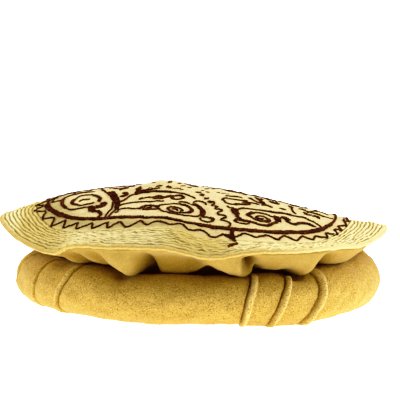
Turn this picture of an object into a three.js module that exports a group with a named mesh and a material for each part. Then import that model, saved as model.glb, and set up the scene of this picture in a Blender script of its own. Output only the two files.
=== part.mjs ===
// A pakol: a soft round wool hat. A wide flat crown with a quilted border sits on a gathered
// side cloth, and the lower edge of the side cloth is wound up into a thick padded brim.
// Millimetres, +Z up. The origin is on the surface the hat rests on, under the middle of its
// outline. The front of the hat faces -Y. Angles are in degrees round +Z, 0 at the front and
// growing towards +X.
import * as THREE from "three";

// ---- Driving dimensions -------------------------------------------------------------------

const CROWN_RADIUS = 139.4; // half the width of the crown, which overhangs the brim
const BORDER_START = 0.81; // where the quilted border begins, as a share of the crown's radius
const CROWN_CENTRE_HEIGHT = 85.7; // top of the crown over its middle
const CROWN_MEAN_BORDER = 65; // height of the border's inner line, taken round the hat
const PEAK_RISE = 5.4; // the soft peak that stands above the low cone
const PEAK_X = -20.4;
const PEAK_Y = 2;
const PEAK_WIDTH = 15;
const TIP_SOFTNESS = 0.15; // how far out the middle stays blunt, as a share of the panel
const EDGE_DROOP = 1.5; // how much more steeply than its own fall the border ends
const PANEL_THICKNESS = 2; // one layer of felt
const BORDER_THICKNESS = 3; // two layers, quilted together
const SIDE_THICKNESS = 2;

const BRIM_SHIFT = 3.6; // the crown has slipped sideways: the brim's middle lies this far along +X
const BRIM_RING_RADIUS = 111; // middle of the roll
const BRIM_HALF_WIDTH = 19.5; // from the middle of the roll outwards
const BRIM_MIDDLE_HEIGHT = 21.6;

const SEAM_GAP = 0.5; // clearance between pieces that touch on the real hat
const SIDE_CREST_RADIUS = 105; // middle of the side cloth where it goes over the brim
const SIDE_CREST_CLEARANCE = 2.2; // from the brim's top to the middle of the side cloth
const SIDE_TURN_RADIUS = 92.5; // where it turns down inside the brim
const SIDE_TURN_HEIGHT = 38;
const SIDE_RING_RADIUS = 90; // where it goes down inside the brim
const SIDE_RING_HEIGHT = 27;
const SIDE_LOW_EDGE = 3; // height of its lower edge

// ---- Folds and waves ------------------------------------------------------------------------

// The crown sags between its folds. Heights of the border's inner line and of its outer edge,
// and how far the felt between the middle and the border bellies up above a straight cone.
const CROWN_WAVES = [
  { at: -90, border: 72.1, edge: 65.9, belly: 7 },
  { at: -76, border: 68.9, edge: 63.3, belly: 6 },
  { at: -64, border: 64.2, edge: 57.6, belly: 5 },
  { at: -53, border: 62, edge: 52.2, belly: 5 },
  { at: -44, border: 62.9, edge: 50.2, belly: 5 },
  { at: -37, border: 64.6, edge: 56.8, belly: 5 },
  { at: -22, border: 67, edge: 57.4, belly: 5 },
  { at: -8, border: 68, edge: 57.4, belly: 4.5 },
  { at: 5, border: 61.6, edge: 51.2, belly: 4 },
  { at: 17, border: 59.9, edge: 55.2, belly: 4 },
  { at: 32, border: 57.2, edge: 54.8, belly: 4 },
  { at: 47, border: 55.5, edge: 55.3, belly: 4 },
  { at: 57, border: 56.8, edge: 54, belly: 3 },
  { at: 70, border: 60.2, edge: 56.2, belly: 2 },
  { at: 90, border: 63.4, edge: 59.2, belly: 1 },
  { at: 112, border: 59.6, edge: 53.6, belly: 2 },
  { at: 140, border: 60.1, edge: 53.6, belly: 4 },
  { at: 165, border: 65.1, edge: 58.6, belly: 5 },
  { at: 190, border: 69.6, edge: 57.1, belly: 6 },
  { at: 215, border: 73.6, edge: 62.6, belly: 7 },
  { at: 245, border: 75.1, edge: 64.6, belly: 7.5 },
];

// The side cloth hangs from the crown's edge in lobes that come out and rest on the brim, with
// tucked-in valleys between them. Where its middle layer is halfway down, and where it turns in.
const SIDE_FOLDS = [
  { at: -90, midOut: 119, midUp: 55.6, turnOut: 101, turnUp: 46.6 },
  { at: -68, midOut: 120, midUp: 51.6, turnOut: 102, turnUp: 45.6 },
  { at: -59, midOut: 119, midUp: 50, turnOut: 106, turnUp: 45.2 },
  { at: -53, midOut: 120, midUp: 49.6, turnOut: 113.5, turnUp: 44.6 },
  { at: -48, midOut: 126, midUp: 48, turnOut: 118, turnUp: 43.6 },
  { at: -43, midOut: 129.5, midUp: 47.6, turnOut: 118.5, turnUp: 43.2 },
  { at: -39.5, midOut: 126, midUp: 49.2, turnOut: 114, turnUp: 45.4 },
  { at: -37, midOut: 129, midUp: 49.6, turnOut: 119.5, turnUp: 45.2 },
  { at: -33, midOut: 129.5, midUp: 49, turnOut: 120, turnUp: 44.2 },
  { at: -30.5, midOut: 127.5, midUp: 49.2, turnOut: 117, turnUp: 43.8 },
  { at: -28.3, midOut: 130, midUp: 47.8, turnOut: 119.5, turnUp: 42 },
  { at: -26, midOut: 131.2, midUp: 46.6, turnOut: 120.5, turnUp: 39.4 },
  { at: -23.6, midOut: 131.7, midUp: 45.6, turnOut: 121.5, turnUp: 37.6 },
  { at: -21.4, midOut: 131, midUp: 46, turnOut: 120.5, turnUp: 38.4 },
  { at: -19.2, midOut: 129, midUp: 47.4, turnOut: 116.5, turnUp: 42.2 },
  { at: -17.2, midOut: 120, midUp: 49.6, turnOut: 106, turnUp: 45.2 },
  { at: -15.3, midOut: 112, midUp: 50.4, turnOut: 98, turnUp: 45.2 },
  { at: -13.9, midOut: 117, midUp: 49.6, turnOut: 110, turnUp: 40.6 },
  { at: -12.4, midOut: 119.5, midUp: 49.4, turnOut: 112, turnUp: 39.4 },
  { at: -5, midOut: 120, midUp: 49.4, turnOut: 112, turnUp: 39.4 },
  { at: -1, midOut: 121, midUp: 49, turnOut: 112, turnUp: 40.2 },
  { at: 2.5, midOut: 131, midUp: 47.8, turnOut: 123, turnUp: 45.6 },
  { at: 6.5, midOut: 131, midUp: 45.4, turnOut: 124, turnUp: 42.4 },
  { at: 10, midOut: 130.5, midUp: 43.9, turnOut: 123, turnUp: 39.3 },
  { at: 12.8, midOut: 129, midUp: 45.4, turnOut: 122, turnUp: 38 },
  { at: 14.6, midOut: 119, midUp: 49, turnOut: 121.5, turnUp: 37.8 },
  { at: 16.4, midOut: 121.5, midUp: 49.6, turnOut: 120, turnUp: 38.6 },
  { at: 18.2, midOut: 127, midUp: 48.8, turnOut: 116.5, turnUp: 40.6 },
  { at: 19.8, midOut: 129.5, midUp: 48.2, turnOut: 108, turnUp: 43.6 },
  { at: 22, midOut: 130.8, midUp: 47.6, turnOut: 117.5, turnUp: 42.2 },
  { at: 26, midOut: 131, midUp: 47, turnOut: 121, turnUp: 41.4 },
  { at: 31, midOut: 131, midUp: 46.6, turnOut: 121, turnUp: 41.2 },
  { at: 34.3, midOut: 131.8, midUp: 45.8, turnOut: 122, turnUp: 38.4 },
  { at: 36.8, midOut: 132.3, midUp: 44.6, turnOut: 123.3, turnUp: 36.4 },
  { at: 39.6, midOut: 131, midUp: 45.6, turnOut: 121.5, turnUp: 39.4 },
  { at: 42, midOut: 129, midUp: 47.2, turnOut: 117, turnUp: 42.2 },
  { at: 44.6, midOut: 125, midUp: 48.4, turnOut: 111, turnUp: 44.4 },
  { at: 48.4, midOut: 129.5, midUp: 47, turnOut: 118, turnUp: 41.8 },
  { at: 58, midOut: 130.5, midUp: 46.8, turnOut: 119.5, turnUp: 41.4 },
  { at: 65, midOut: 127, midUp: 48.2, turnOut: 115, turnUp: 43.6 },
  { at: 72, midOut: 121, midUp: 50.2, turnOut: 105, turnUp: 45.4 },
  { at: 88, midOut: 121, midUp: 50.4, turnOut: 104, turnUp: 45.6 },
  { at: 100, midOut: 129, midUp: 46.6, turnOut: 118, turnUp: 42.4 },
  { at: 113, midOut: 121, midUp: 46.6, turnOut: 105, turnUp: 45.1 },
  { at: 128, midOut: 130, midUp: 45.6, turnOut: 119, turnUp: 42.4 },
  { at: 143, midOut: 122, midUp: 45.6, turnOut: 107, turnUp: 44.6 },
  { at: 158, midOut: 130, midUp: 46.6, turnOut: 118.5, turnUp: 42.4 },
  { at: 175, midOut: 123, midUp: 46.6, turnOut: 108, turnUp: 45.1 },
  { at: 191, midOut: 130, midUp: 46.6, turnOut: 119, turnUp: 42.4 },
  { at: 206, midOut: 121, midUp: 49.6, turnOut: 104, turnUp: 45.6 },
  { at: 222, midOut: 129, midUp: 48.6, turnOut: 118, turnUp: 43.2 },
  { at: 240, midOut: 120, midUp: 52.6, turnOut: 102, turnUp: 46.1 },
  { at: 255, midOut: 127, midUp: 50.6, turnOut: 115, turnUp: 44.1 },
];

// The roll is pressed down at the front, where the side cloth lies on it, and it touches the
// ground in three places. Heights of its top and its underside (below 0 is pressed flat), and
// how many degrees the tucks lean and bow by from the middle of the roll to its top.
const BRIM_WAVES = [
  { at: -90, top: 41.1, foot: 6.2, lean: 3.3, bow: -1 },
  { at: -75, top: 41.1, foot: 6.2, lean: 3.3, bow: -1.3 },
  { at: -62, top: 41, foot: 5.8, lean: 3.3, bow: -1.5 },
  { at: -48, top: 41, foot: 4.9, lean: 4.9, bow: -0.6 },
  { at: -36, top: 40.4, foot: 4, lean: 3.3, bow: 0 },
  { at: -31, top: 38.4, foot: 3.6, lean: 3, bow: 0 },
  { at: -26.5, top: 35.5, foot: 3.2, lean: 3, bow: 0 },
  { at: -21, top: 36.2, foot: 2.8, lean: 3, bow: 0 },
  { at: -12, top: 36.6, foot: 2.2, lean: 3, bow: 0.3 },
  { at: 0, top: 36.4, foot: 2.6, lean: 2.8, bow: 0.6 },
  { at: 8, top: 36.4, foot: 3.2, lean: 2.7, bow: 0.8 },
  { at: 14, top: 36.2, foot: 2, lean: 2.7, bow: 0.9 },
  { at: 20, top: 36.6, foot: 0.8, lean: 3, bow: 1 },
  { at: 26, top: 36.8, foot: -0.5, lean: 3.3, bow: 1 },
  { at: 31, top: 36, foot: -0.5, lean: 3.1, bow: 0 },
  { at: 34.5, top: 34.2, foot: -0.5, lean: 2.9, bow: -0.8 },
  { at: 37.5, top: 34.6, foot: -0.4, lean: 2.8, bow: -1.2 },
  { at: 41, top: 36.6, foot: 0, lean: 2.8, bow: -1.6 },
  { at: 46, top: 38.6, foot: 0.8, lean: 3, bow: -1 },
  { at: 56, top: 39.9, foot: 2, lean: 3.3, bow: 0 },
  { at: 68, top: 40.9, foot: 2.8, lean: 3.3, bow: 0 },
  { at: 85, top: 41.1, foot: 2.8, lean: 3.3, bow: 0 },
  { at: 100, top: 40.9, foot: 1, lean: 3.3, bow: 0 },
  { at: 112, top: 40.6, foot: -0.5, lean: 3.3, bow: 0 },
  { at: 145, top: 40.4, foot: -0.5, lean: 3.3, bow: 0 },
  { at: 165, top: 40.1, foot: 1.2, lean: 3.3, bow: 0 },
  { at: 185, top: 40.1, foot: 1.5, lean: 3.3, bow: 0 },
  { at: 205, top: 40.6, foot: 1, lean: 3.3, bow: 0 },
  { at: 225, top: 41.1, foot: -0.5, lean: 3.3, bow: 0 },
  { at: 255, top: 41.1, foot: 0, lean: 3.3, bow: -0.5 },
];

// Cord-like tucks sewn across the roll, in three groups of three and one of two. Each lies
// over to one side of its crease.
const TUCKS = [
  { crease: 14.5, lies: 1 },
  { crease: 25.9, lies: 1 },
  { crease: 39.8, lies: 1 },
  { crease: 105, lies: -1 },
  { crease: 119, lies: -1 },
  { crease: 133, lies: -1 },
  { crease: 194, lies: 1 },
  { crease: 208, lies: 1 },
  { crease: 222, lies: 1 },
  { crease: 297.8, lies: -1 },
  { crease: 312.3, lies: -1 },
];

// Section of one tuck: distance from the crease round the roll, and height above the roll.
const TUCK_SECTION = [
  { along: -3, up: 0 },
  { along: -0.6, up: -1.5 },
  { along: 0.5, up: 1.3 },
  { along: 2.2, up: 2.6 },
  { along: 4, up: 1.8 },
  { along: 5.3, up: -0.4 },
  { along: 7.6, up: 0 },
];

// ---- Helpers --------------------------------------------------------------------------------

const RAD = Math.PI / 180;
const smooth = THREE.MathUtils.smoothstep;

// A smooth curve round the hat through one column of a table of rows.
function wave(rows, column) {
  const n = rows.length;
  const row = (i) => rows[((i % n) + n) % n];
  const angle = (i) => row(i).at + 360 * Math.floor(i / n);
  const slope = (i) =>
    (row(i + 1)[column] - row(i - 1)[column]) / (angle(i + 1) - angle(i - 1));
  return (degrees) => {
    let a = rows[0].at + ((((degrees - rows[0].at) % 360) + 360) % 360);
    let i = 0;
    while (angle(i + 1) <= a) i++;
    const span = angle(i + 1) - angle(i);
    const t = (a - angle(i)) / span;
    return (
      (2 * t ** 3 - 3 * t ** 2 + 1) * row(i)[column] +
      (t ** 3 - 2 * t ** 2 + t) * span * slope(i) +
      (3 * t ** 2 - 2 * t ** 3) * row(i + 1)[column] +
      (t ** 3 - t ** 2) * span * slope(i + 1)
    );
  };
}

// The point at a radius, a height and an angle about an axis that stands at x = shift.
function around(radius, height, degrees, shift = 0) {
  return new THREE.Vector3(
    shift + radius * Math.sin(degrees * RAD),
    -radius * Math.cos(degrees * RAD),
    height,
  );
}

// A solid of revolution whose vertices are then moved to place(station, point). The section
// runs from point 0 to point count - 1, and either closes on itself or ends on the axis.
function swept(stations, count, place) {
  const section = Array.from({ length: count }, (_, j) => new THREE.Vector2(1, j));
  const geometry = new THREE.LatheGeometry(section, stations.length);
  const position = geometry.getAttribute("position");
  for (let i = 0; i <= stations.length; i++)
    for (let j = 0; j < count; j++) {
      const p = place(stations[i % stations.length], j);
      position.setXYZ(i * count + j, p.x, p.y, p.z);
    }
  geometry.deleteAttribute("uv");
  geometry.computeVertexNormals();
  return geometry;
}

function felt(color) {
  return new THREE.MeshStandardMaterial({ color, roughness: 0.95, metalness: 0 });
}

// Stations round the hat: one on each row of the side cloth's folds, and more between, so that
// no two stand further apart than this many degrees.
const STATION_STEP = 5.5;
const stations = SIDE_FOLDS.flatMap(({ at }, i) => {
  const next = i + 1 < SIDE_FOLDS.length ? SIDE_FOLDS[i + 1].at : SIDE_FOLDS[0].at + 360;
  const steps = Math.max(2, Math.ceil((next - at) / STATION_STEP));
  return Array.from({ length: steps }, (_, k) => at + ((next - at) * k) / steps);
});

// ---- Crown ----------------------------------------------------------------------------------

const borderHeight = wave(CROWN_WAVES, "border");
const edgeHeight = wave(CROWN_WAVES, "edge");
const belly = wave(CROWN_WAVES, "belly");

// 0 in the middle and 1 at the border's inner line, without a sharp point in the middle.
function softened(t) {
  return (Math.hypot(t, TIP_SOFTNESS) - TIP_SOFTNESS) / (Math.hypot(1, TIP_SOFTNESS) - TIP_SOFTNESS);
}

// The crown's upper face: share is 0 in the middle and 1 at the outer edge.
function crownTop(share, degrees) {
  const p = around(share * CROWN_RADIUS, 0, degrees);
  const border = borderHeight(degrees);
  const edge = edgeHeight(degrees);
  const swell = belly(degrees);
  if (share < BORDER_START) {
    const t = share / BORDER_START;
    p.z = THREE.MathUtils.lerp(CROWN_CENTRE_HEIGHT, CROWN_MEAN_BORDER, softened(t));
    p.z += (border - CROWN_MEAN_BORDER) * t * t + swell * 2 * t * (1 - t) * (1 + t);
  } else {
    const t = (share - BORDER_START) / (1 - BORDER_START);
    const panelSlope =
      ((2 * border - CROWN_CENTRE_HEIGHT - CROWN_MEAN_BORDER - 4 * swell) * (1 - BORDER_START)) /
      BORDER_START;
    const slopeIn = 0.5 * panelSlope + 0.3 * (edge - border);
    const slopeOut = 1.6 * (edge - border) - EDGE_DROOP;
    p.z =
      (2 * t ** 3 - 3 * t ** 2 + 1) * border +
      (t ** 3 - 2 * t ** 2 + t) * slopeIn +
      (3 * t ** 2 - 2 * t ** 3) * edge +
      (t ** 3 - t ** 2) * slopeOut;
  }
  const away = (p.x - PEAK_X) ** 2 + (p.y - PEAK_Y) ** 2;
  p.z += PEAK_RISE * Math.exp(-away / (2 * PEAK_WIDTH ** 2));
  return p;
}

function crownNormal(share, degrees) {
  const s = Math.max(share, 0.01);
  const outwards = crownTop(s + 0.004, degrees).sub(crownTop(s - 0.004, degrees));
  const round = crownTop(s, degrees + 0.4).sub(crownTop(s, degrees - 0.4));
  return outwards.cross(round).normalize();
}

// A point at a depth under the upper face.
function crownAt(share, degrees, depth) {
  return crownTop(share, degrees).addScaledVector(crownNormal(share, degrees), -depth);
}

function crownThickness(share) {
  const t = smooth(share, BORDER_START - 0.04, BORDER_START + 0.04);
  return THREE.MathUtils.lerp(PANEL_THICKNESS, BORDER_THICKNESS, t);
}

const LIP_START = 1 - BORDER_THICKNESS / 2 / CROWN_RADIUS;
const CROWN_TOP_SHARES = [0, 0.15, 0.32, 0.5, 0.68, 0.81, 0.88, 0.95, LIP_START];
const CROWN_UNDER_SHARES = [LIP_START, 0.95, 0.81, 0.5, 0];

function crownSection(degrees, j) {
  if (j < CROWN_TOP_SHARES.length) return crownTop(CROWN_TOP_SHARES[j], degrees);
  const k = j - CROWN_TOP_SHARES.length - 1;
  if (k < 0) {
    const out = around(BORDER_THICKNESS / 2, 0, degrees);
    return crownAt(LIP_START, degrees, BORDER_THICKNESS / 2).add(out);
  }
  const share = CROWN_UNDER_SHARES[k];
  if (share === 0) return crownTop(0, degrees).add(new THREE.Vector3(0, 0, -PANEL_THICKNESS));
  return crownAt(share, degrees, crownThickness(share));
}

const crownPoints = CROWN_TOP_SHARES.length + 1 + CROWN_UNDER_SHARES.length;
const crown = new THREE.Mesh(
  swept(stations, crownPoints, (a, j) => crownSection(a, crownPoints - 1 - j)),
  felt(0xe2d3a0),
);
crown.name = "crown";

// ---- Side cloth -----------------------------------------------------------------------------

const midOut = wave(SIDE_FOLDS, "midOut");
const midUp = wave(SIDE_FOLDS, "midUp");
const turnOut = wave(SIDE_FOLDS, "turnOut");
const turnUp = wave(SIDE_FOLDS, "turnUp");
const brimTop = wave(BRIM_WAVES, "top");

const SIDE_LAYER_STEPS = 8;

// Middle of the side cloth at one angle, as a curve of radius and height from the crown's
// edge, over the brim and down inside it. The curve's z carries the sideways shift.
function sideCurve(degrees) {
  const start = crownAt(LIP_START - 0.008, degrees, BORDER_THICKNESS + SEAM_GAP);
  const startRadius = Math.hypot(start.x, start.y);
  const crestRadius = Math.min(SIDE_CREST_RADIUS, turnOut(degrees) - 4);
  const crestHeight = Math.max(brimTop(degrees) + SIDE_CREST_CLEARANCE, turnUp(degrees) - 0.5);
  const stops = [
    [startRadius, start.z, 0],
    [midOut(degrees), midUp(degrees), 0.5],
    [turnOut(degrees), turnUp(degrees), 1],
    [crestRadius, crestHeight, 1],
    [SIDE_TURN_RADIUS, SIDE_TURN_HEIGHT, 1],
    [SIDE_RING_RADIUS, SIDE_RING_HEIGHT, 1],
    [SIDE_RING_RADIUS, SIDE_LOW_EDGE, 1],
  ];
  return new THREE.CatmullRomCurve3(
    stops.map(([r, z, s]) => new THREE.Vector3(r, z, s * BRIM_SHIFT)),
    false,
    "centripetal",
  );
}

function sideSection(degrees) {
  const curve = sideCurve(degrees);
  const half = SIDE_THICKNESS / 2;
  const outer = [];
  const inner = [];
  for (let k = 0; k <= SIDE_LAYER_STEPS; k++) {
    const p = curve.getPoint(k / SIDE_LAYER_STEPS);
    const t = curve.getTangent(k / SIDE_LAYER_STEPS);
    const length = Math.hypot(t.x, t.y);
    const nr = -t.y / length;
    const nz = t.x / length;
    outer.push(around(p.x + half * nr, p.y + half * nz, degrees, p.z));
    inner.push(around(p.x - half * nr, p.y - half * nz, degrees, p.z));
  }
  // The upper end is cut to lie flat under the crown's edge.
  outer[0] = crownAt(LIP_START - 0.001, degrees, BORDER_THICKNESS + SEAM_GAP);
  inner[0] = crownAt(LIP_START - 0.015, degrees, BORDER_THICKNESS + SEAM_GAP);
  return [...inner, ...outer.reverse(), inner[0]];
}

const sideSections = new Map(stations.map((a) => [a, sideSection(a)]));
const side_wall = new THREE.Mesh(
  swept(stations, 2 * SIDE_LAYER_STEPS + 3, (a, j) => sideSections.get(a)[j]),
  felt(0xe0bd62),
);
side_wall.name = "side_wall";

// ---- Rolled brim ----------------------------------------------------------------------------

const footHeight = wave(BRIM_WAVES, "foot");
const lean = wave(BRIM_WAVES, "lean");
const bow = wave(BRIM_WAVES, "bow");

// Angles round the section of the roll, 0 outwards and 90 up. Where the roll is pressed flat,
// the first and the last lie on the two edges of its foot.
const FOOT_ANGLE = 77;
const SECTION_ANGLES = [
  -FOOT_ANGLE, -60, -42, -24, -6, 12, 30, 48, 66, 84, 102, 122, 146, 170, 194, 218, 240,
  180 + FOOT_ANGLE,
];

// One station on each line of each tuck, and more between, at most this many degrees apart.
const BRIM_STATION_STEP = 6.6;
function brimStations() {
  const stations = [];
  for (const { crease, lies } of TUCKS)
    for (const { along, up } of TUCK_SECTION)
      stations.push({ at: crease + (lies * along) / (BRIM_RING_RADIUS + BRIM_HALF_WIDTH) / RAD, up });
  stations.sort((a, b) => a.at - b.at);
  const filled = [];
  stations.forEach((s, i) => {
    filled.push(s);
    const next = i + 1 < stations.length ? stations[i + 1].at : stations[0].at + 360;
    const extra = Math.floor((next - s.at) / BRIM_STATION_STEP);
    for (let k = 1; k <= extra; k++)
      filled.push({ at: s.at + ((next - s.at) * k) / (extra + 1), up: 0 });
  });
  return filled;
}

function brimSection(station, j) {
  const turn = SECTION_ANGLES[j % SECTION_ANGLES.length];
  const c = Math.cos(turn * RAD);
  const s = Math.sin(turn * RAD);
  const degrees = station.at + lean(station.at) * s + bow(station.at) * s * s;
  const half =
    s > 0 ? brimTop(degrees) - BRIM_MIDDLE_HEIGHT : BRIM_MIDDLE_HEIGHT - footHeight(degrees);
  // Tucks are full over the outside and die out over the top and under the roll.
  const fade = 1 - 0.75 * smooth(turn, 50, 90) - 0.5 * smooth(-turn, 45, 77);
  const lift = turn < 100 ? station.up * fade : 0;
  const radius = BRIM_RING_RADIUS + (BRIM_HALF_WIDTH + lift) * c;
  const height = BRIM_MIDDLE_HEIGHT + (half + lift) * s;
  return around(radius, Math.max(height, 0), degrees, BRIM_SHIFT);
}

const rolled_brim = new THREE.Mesh(
  swept(brimStations(), SECTION_ANGLES.length + 1, (s, j) => brimSection(s, j)),
  felt(0xc79a3c),
);
rolled_brim.name = "rolled_brim";

// ---- The hat --------------------------------------------------------------------------------

const pakol = new THREE.Group();
pakol.name = "pakol";
pakol.add(crown, side_wall, rolled_brim);

export default pakol;
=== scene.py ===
import math

import bpy
import numpy as np
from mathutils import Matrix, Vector


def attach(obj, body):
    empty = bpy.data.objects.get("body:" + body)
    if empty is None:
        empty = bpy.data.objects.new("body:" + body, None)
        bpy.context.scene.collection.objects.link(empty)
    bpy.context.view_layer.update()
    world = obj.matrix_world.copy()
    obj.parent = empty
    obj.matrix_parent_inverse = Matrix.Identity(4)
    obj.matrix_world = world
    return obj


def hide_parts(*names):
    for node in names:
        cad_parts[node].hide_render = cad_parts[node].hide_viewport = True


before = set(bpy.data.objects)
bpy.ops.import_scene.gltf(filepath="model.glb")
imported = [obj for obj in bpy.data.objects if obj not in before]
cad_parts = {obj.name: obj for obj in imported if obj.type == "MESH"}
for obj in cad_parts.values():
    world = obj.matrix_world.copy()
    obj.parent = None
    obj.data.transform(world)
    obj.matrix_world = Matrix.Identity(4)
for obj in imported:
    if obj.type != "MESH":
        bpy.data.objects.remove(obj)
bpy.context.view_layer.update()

# ---- Table, light and camera ----------------------------------------------------------------
# The hat rests by itself on a plain white table, in soft light from all sides that the table
# throws back up under it, with a little more from the right. It is seen from just above.

MM = 0.001
TABLE_RADIUS = 40.0
TABLE_CORNERS = 64
NEAR_GLOW = 1.22
FAR_GLOW = 0.35
GLOW_REACH = (0.16, 0.36)  # metres from the hat's middle
DIM_FRONT = 0.12
BRIGHT_REST = 0.9
BRIGHT_SIDE = (0.3, 0.95, 0.0)
DIM_TO_BRIGHT = (-0.8, 0.1)  # how far towards the bright side
LAMPS = [  # name, place, width, power
    ("overhead_lamp", (0.1, 0.15, 1.7), 1.4, 15.0),
    ("right_lamp", (1.5, 0.3, 1.0), 1.0, 17.0),
    ("left_lamp", (-1.6, 0.1, 0.6), 1.0, 11.0),
]
SEEN_POINT = (0.0036, 0.0, 0.045)
CAMERA_DISTANCE = 2.2
CAMERA_RISE = math.radians(6.1)
CAMERA_AIM = (0.00468, 0.0035, 0.0776)
LENS_LENGTH = 275


def new_material(name):
    """A material whose tree holds one shader, and that shader."""
    material = bpy.data.materials.new(name)
    material.use_nodes = True
    return material, material.node_tree, material.node_tree.nodes["Principled BSDF"]


def set_inputs(node, values):
    for name, value in values.items():
        node.inputs[name].default_value = value


def add_node(tree, kind, inputs=(), **settings):
    node = tree.nodes.new(kind)
    for name, value in settings.items():
        setattr(node, name, value)
    set_inputs(node, dict(inputs))
    return node


def maths(tree, operation, first, second=0.0, clamp=False):
    node = add_node(tree, "ShaderNodeMath", operation=operation, use_clamp=clamp)
    for socket, value in zip(node.inputs, (first, second)):
        if isinstance(value, (int, float)):
            socket.default_value = value
        else:
            tree.links.new(value, socket)
    return node.outputs[0]


def ramp(tree, value, low, high, start=0.0, end=1.0):
    """A value that passes smoothly from start to end while another goes from low to high."""
    node = add_node(tree, "ShaderNodeMapRange", {
        "From Min": low, "From Max": high, "To Min": start, "To Max": end,
    }, interpolation_type="SMOOTHSTEP")
    tree.links.new(value, node.inputs["Value"])
    return node.outputs["Result"]


def glow_strength(tree, measure, span, start, end):
    """A glow that changes along a measure, and is plain white where the camera sees it."""
    sight = add_node(tree, "ShaderNodeLightPath").outputs["Is Camera Ray"]
    return maths(tree, "MAXIMUM", sight, ramp(tree, measure, *span, start, end))


def mesh_object(name, points, faces, smooth=True):
    """A mesh object from points in millimetres and faces of three or four corners."""
    mesh = bpy.data.meshes.new(name)
    mesh.from_pydata(np.asarray(points) * MM, [], [tuple(f) for f in faces])
    mesh.polygons.foreach_set("use_smooth", np.full(len(mesh.polygons), smooth))
    mesh.update()
    piece = bpy.data.objects.new(name, mesh)
    bpy.context.scene.collection.objects.link(piece)
    return piece


turn = np.linspace(0, 2 * math.pi, TABLE_CORNERS, endpoint=False)
rim = np.stack([np.cos(turn), np.sin(turn), 0 * turn], axis=1) * TABLE_RADIUS / MM
table_top = mesh_object("table_top", rim, [range(TABLE_CORNERS)], smooth=False)
table_white, tree, shader = new_material("table_white")
set_inputs(shader, {
    "Base Color": (0.9, 0.9, 0.88, 1),
    "Roughness": 0.9,
    "Specular IOR Level": 0.1,
    "Emission Color": (1.0, 1.0, 0.985, 1),
})
# The glow is strong close to the hat, so that it lights the roll from below.
spot = add_node(tree, "ShaderNodeTexCoord")
distance = add_node(tree, "ShaderNodeVectorMath", operation="LENGTH")
tree.links.new(spot.outputs["Object"], distance.inputs[0])
strength = glow_strength(tree, distance.outputs["Value"], GLOW_REACH, NEAR_GLOW, FAR_GLOW)
tree.links.new(strength, shader.inputs["Emission Strength"])
table_top.data.materials.append(table_white)

world = bpy.data.worlds.new("studio")
world.use_nodes = True
tree = world.node_tree
ray = add_node(tree, "ShaderNodeTexCoord")
toward = add_node(tree, "ShaderNodeVectorMath", operation="DOT_PRODUCT")
toward.inputs[1].default_value = BRIGHT_SIDE
tree.links.new(ray.outputs["Generated"], toward.inputs[0])
strength = glow_strength(tree, toward.outputs["Value"], DIM_TO_BRIGHT, DIM_FRONT, BRIGHT_REST)
tree.links.new(strength, tree.nodes["Background"].inputs["Strength"])
set_inputs(tree.nodes["Background"], {"Color": (1, 1, 1, 1)})
bpy.context.scene.world = world

# The picture's tone: deep, rich shadows, and light parts that grow pale before they are white.
TONE_CURVE = [(0, 0), (0.04, 0.012), (0.12, 0.075), (0.3, 0.27), (0.55, 0.6), (0.8, 0.9), (1, 1)]
WARM_SHADOWS = [(0, 0), (0.006, 0.016), (0.05, 0.058), (1, 1)]
BLUE_CURVE = [
    (0, 0), (0.03, 0.022), (0.07, 0.061), (0.12, 0.115), (0.25, 0.24), (0.42, 0.46), (0.6, 0.7),
    (0.8, 0.9), (1, 1),
]
TONE_WHITE = 1.25
view = bpy.context.scene.view_settings
view.view_transform = "Standard"
view.look = "None"
view.use_curve_mapping = True
view.curve_mapping.white_level = (TONE_WHITE, TONE_WHITE, TONE_WHITE)
for channel_shade, points in ((3, TONE_CURVE), (0, WARM_SHADOWS), (2, BLUE_CURVE)):
    for place, level in points[1:-1]:
        view.curve_mapping.curves[channel_shade].points.new(place, level)
view.curve_mapping.update()


def aim(thing, target):
    direction = Vector(target) - thing.location
    thing.rotation_euler = direction.to_track_quat("-Z", "Y").to_euler()


for name, place, width, power in LAMPS:
    lamp = bpy.data.lights.new(name, "AREA")
    lamp.size = width
    lamp.energy = power
    lamp_object = bpy.data.objects.new(name, lamp)
    lamp_object.location = place
    lamp_object.visible_camera = False
    aim(lamp_object, SEEN_POINT)
    bpy.context.scene.collection.objects.link(lamp_object)

camera = bpy.data.objects.new("camera", bpy.data.cameras.new("camera"))
camera.data.sensor_width = 36
camera.data.lens = LENS_LENGTH
camera.data.clip_end = 100
camera.location = (
    SEEN_POINT[0],
    SEEN_POINT[1] - CAMERA_DISTANCE * math.cos(CAMERA_RISE),
    SEEN_POINT[2] + CAMERA_DISTANCE * math.sin(CAMERA_RISE),
)
aim(camera, CAMERA_AIM)
bpy.context.scene.collection.objects.link(camera)
bpy.context.scene.camera = camera

# ---- Crown ----------------------------------------------------------------------------------
# The crown is a disc of cream felt, 2 mm thick, that sags in soft waves. Its outer fifth is
# two layers thick, quilted in close rings, and ends in a plump turned edge.

CROWN_RADIUS = 139.4
BORDER_START = 0.81  # as a share of the radius
CENTRE_HEIGHT = 85.7
MEAN_BORDER_HEIGHT = 65
PEAK_RISE = 5.4
PEAK_PLACE = (-20.4, 2)
PEAK_WIDTH = 15
TIP_SOFTNESS = 0.15
EDGE_DROOP = 1.5
PANEL_THICKNESS = 2
BORDER_THICKNESS = 3
QUILT_RINGS = 9
QUILT_FIRST_RADIUS = 112.9
QUILT_SPACING = 2.8
QUILT_DEPTH = 0.8
QUILT_MARGIN = 3
CHANNEL_HALF_WIDTH = 0.62
LIP_FULLNESS = 1.25
FELT_SWELLING = [(0.22, 11, 1), (0.1, 4.5, 2)]  # height, wavelength, seed
BORDER_SWELLING = [(0.15, 3.4, 3), (0.22, 8, 4)]
CROWN_STEPS = 680
TIP_RADIUS = 2.2
PANEL_ROWS = 46
BORDER_ROWS = 48
LIP_STEPS = 8
UNDER_ROWS = 18


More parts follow.
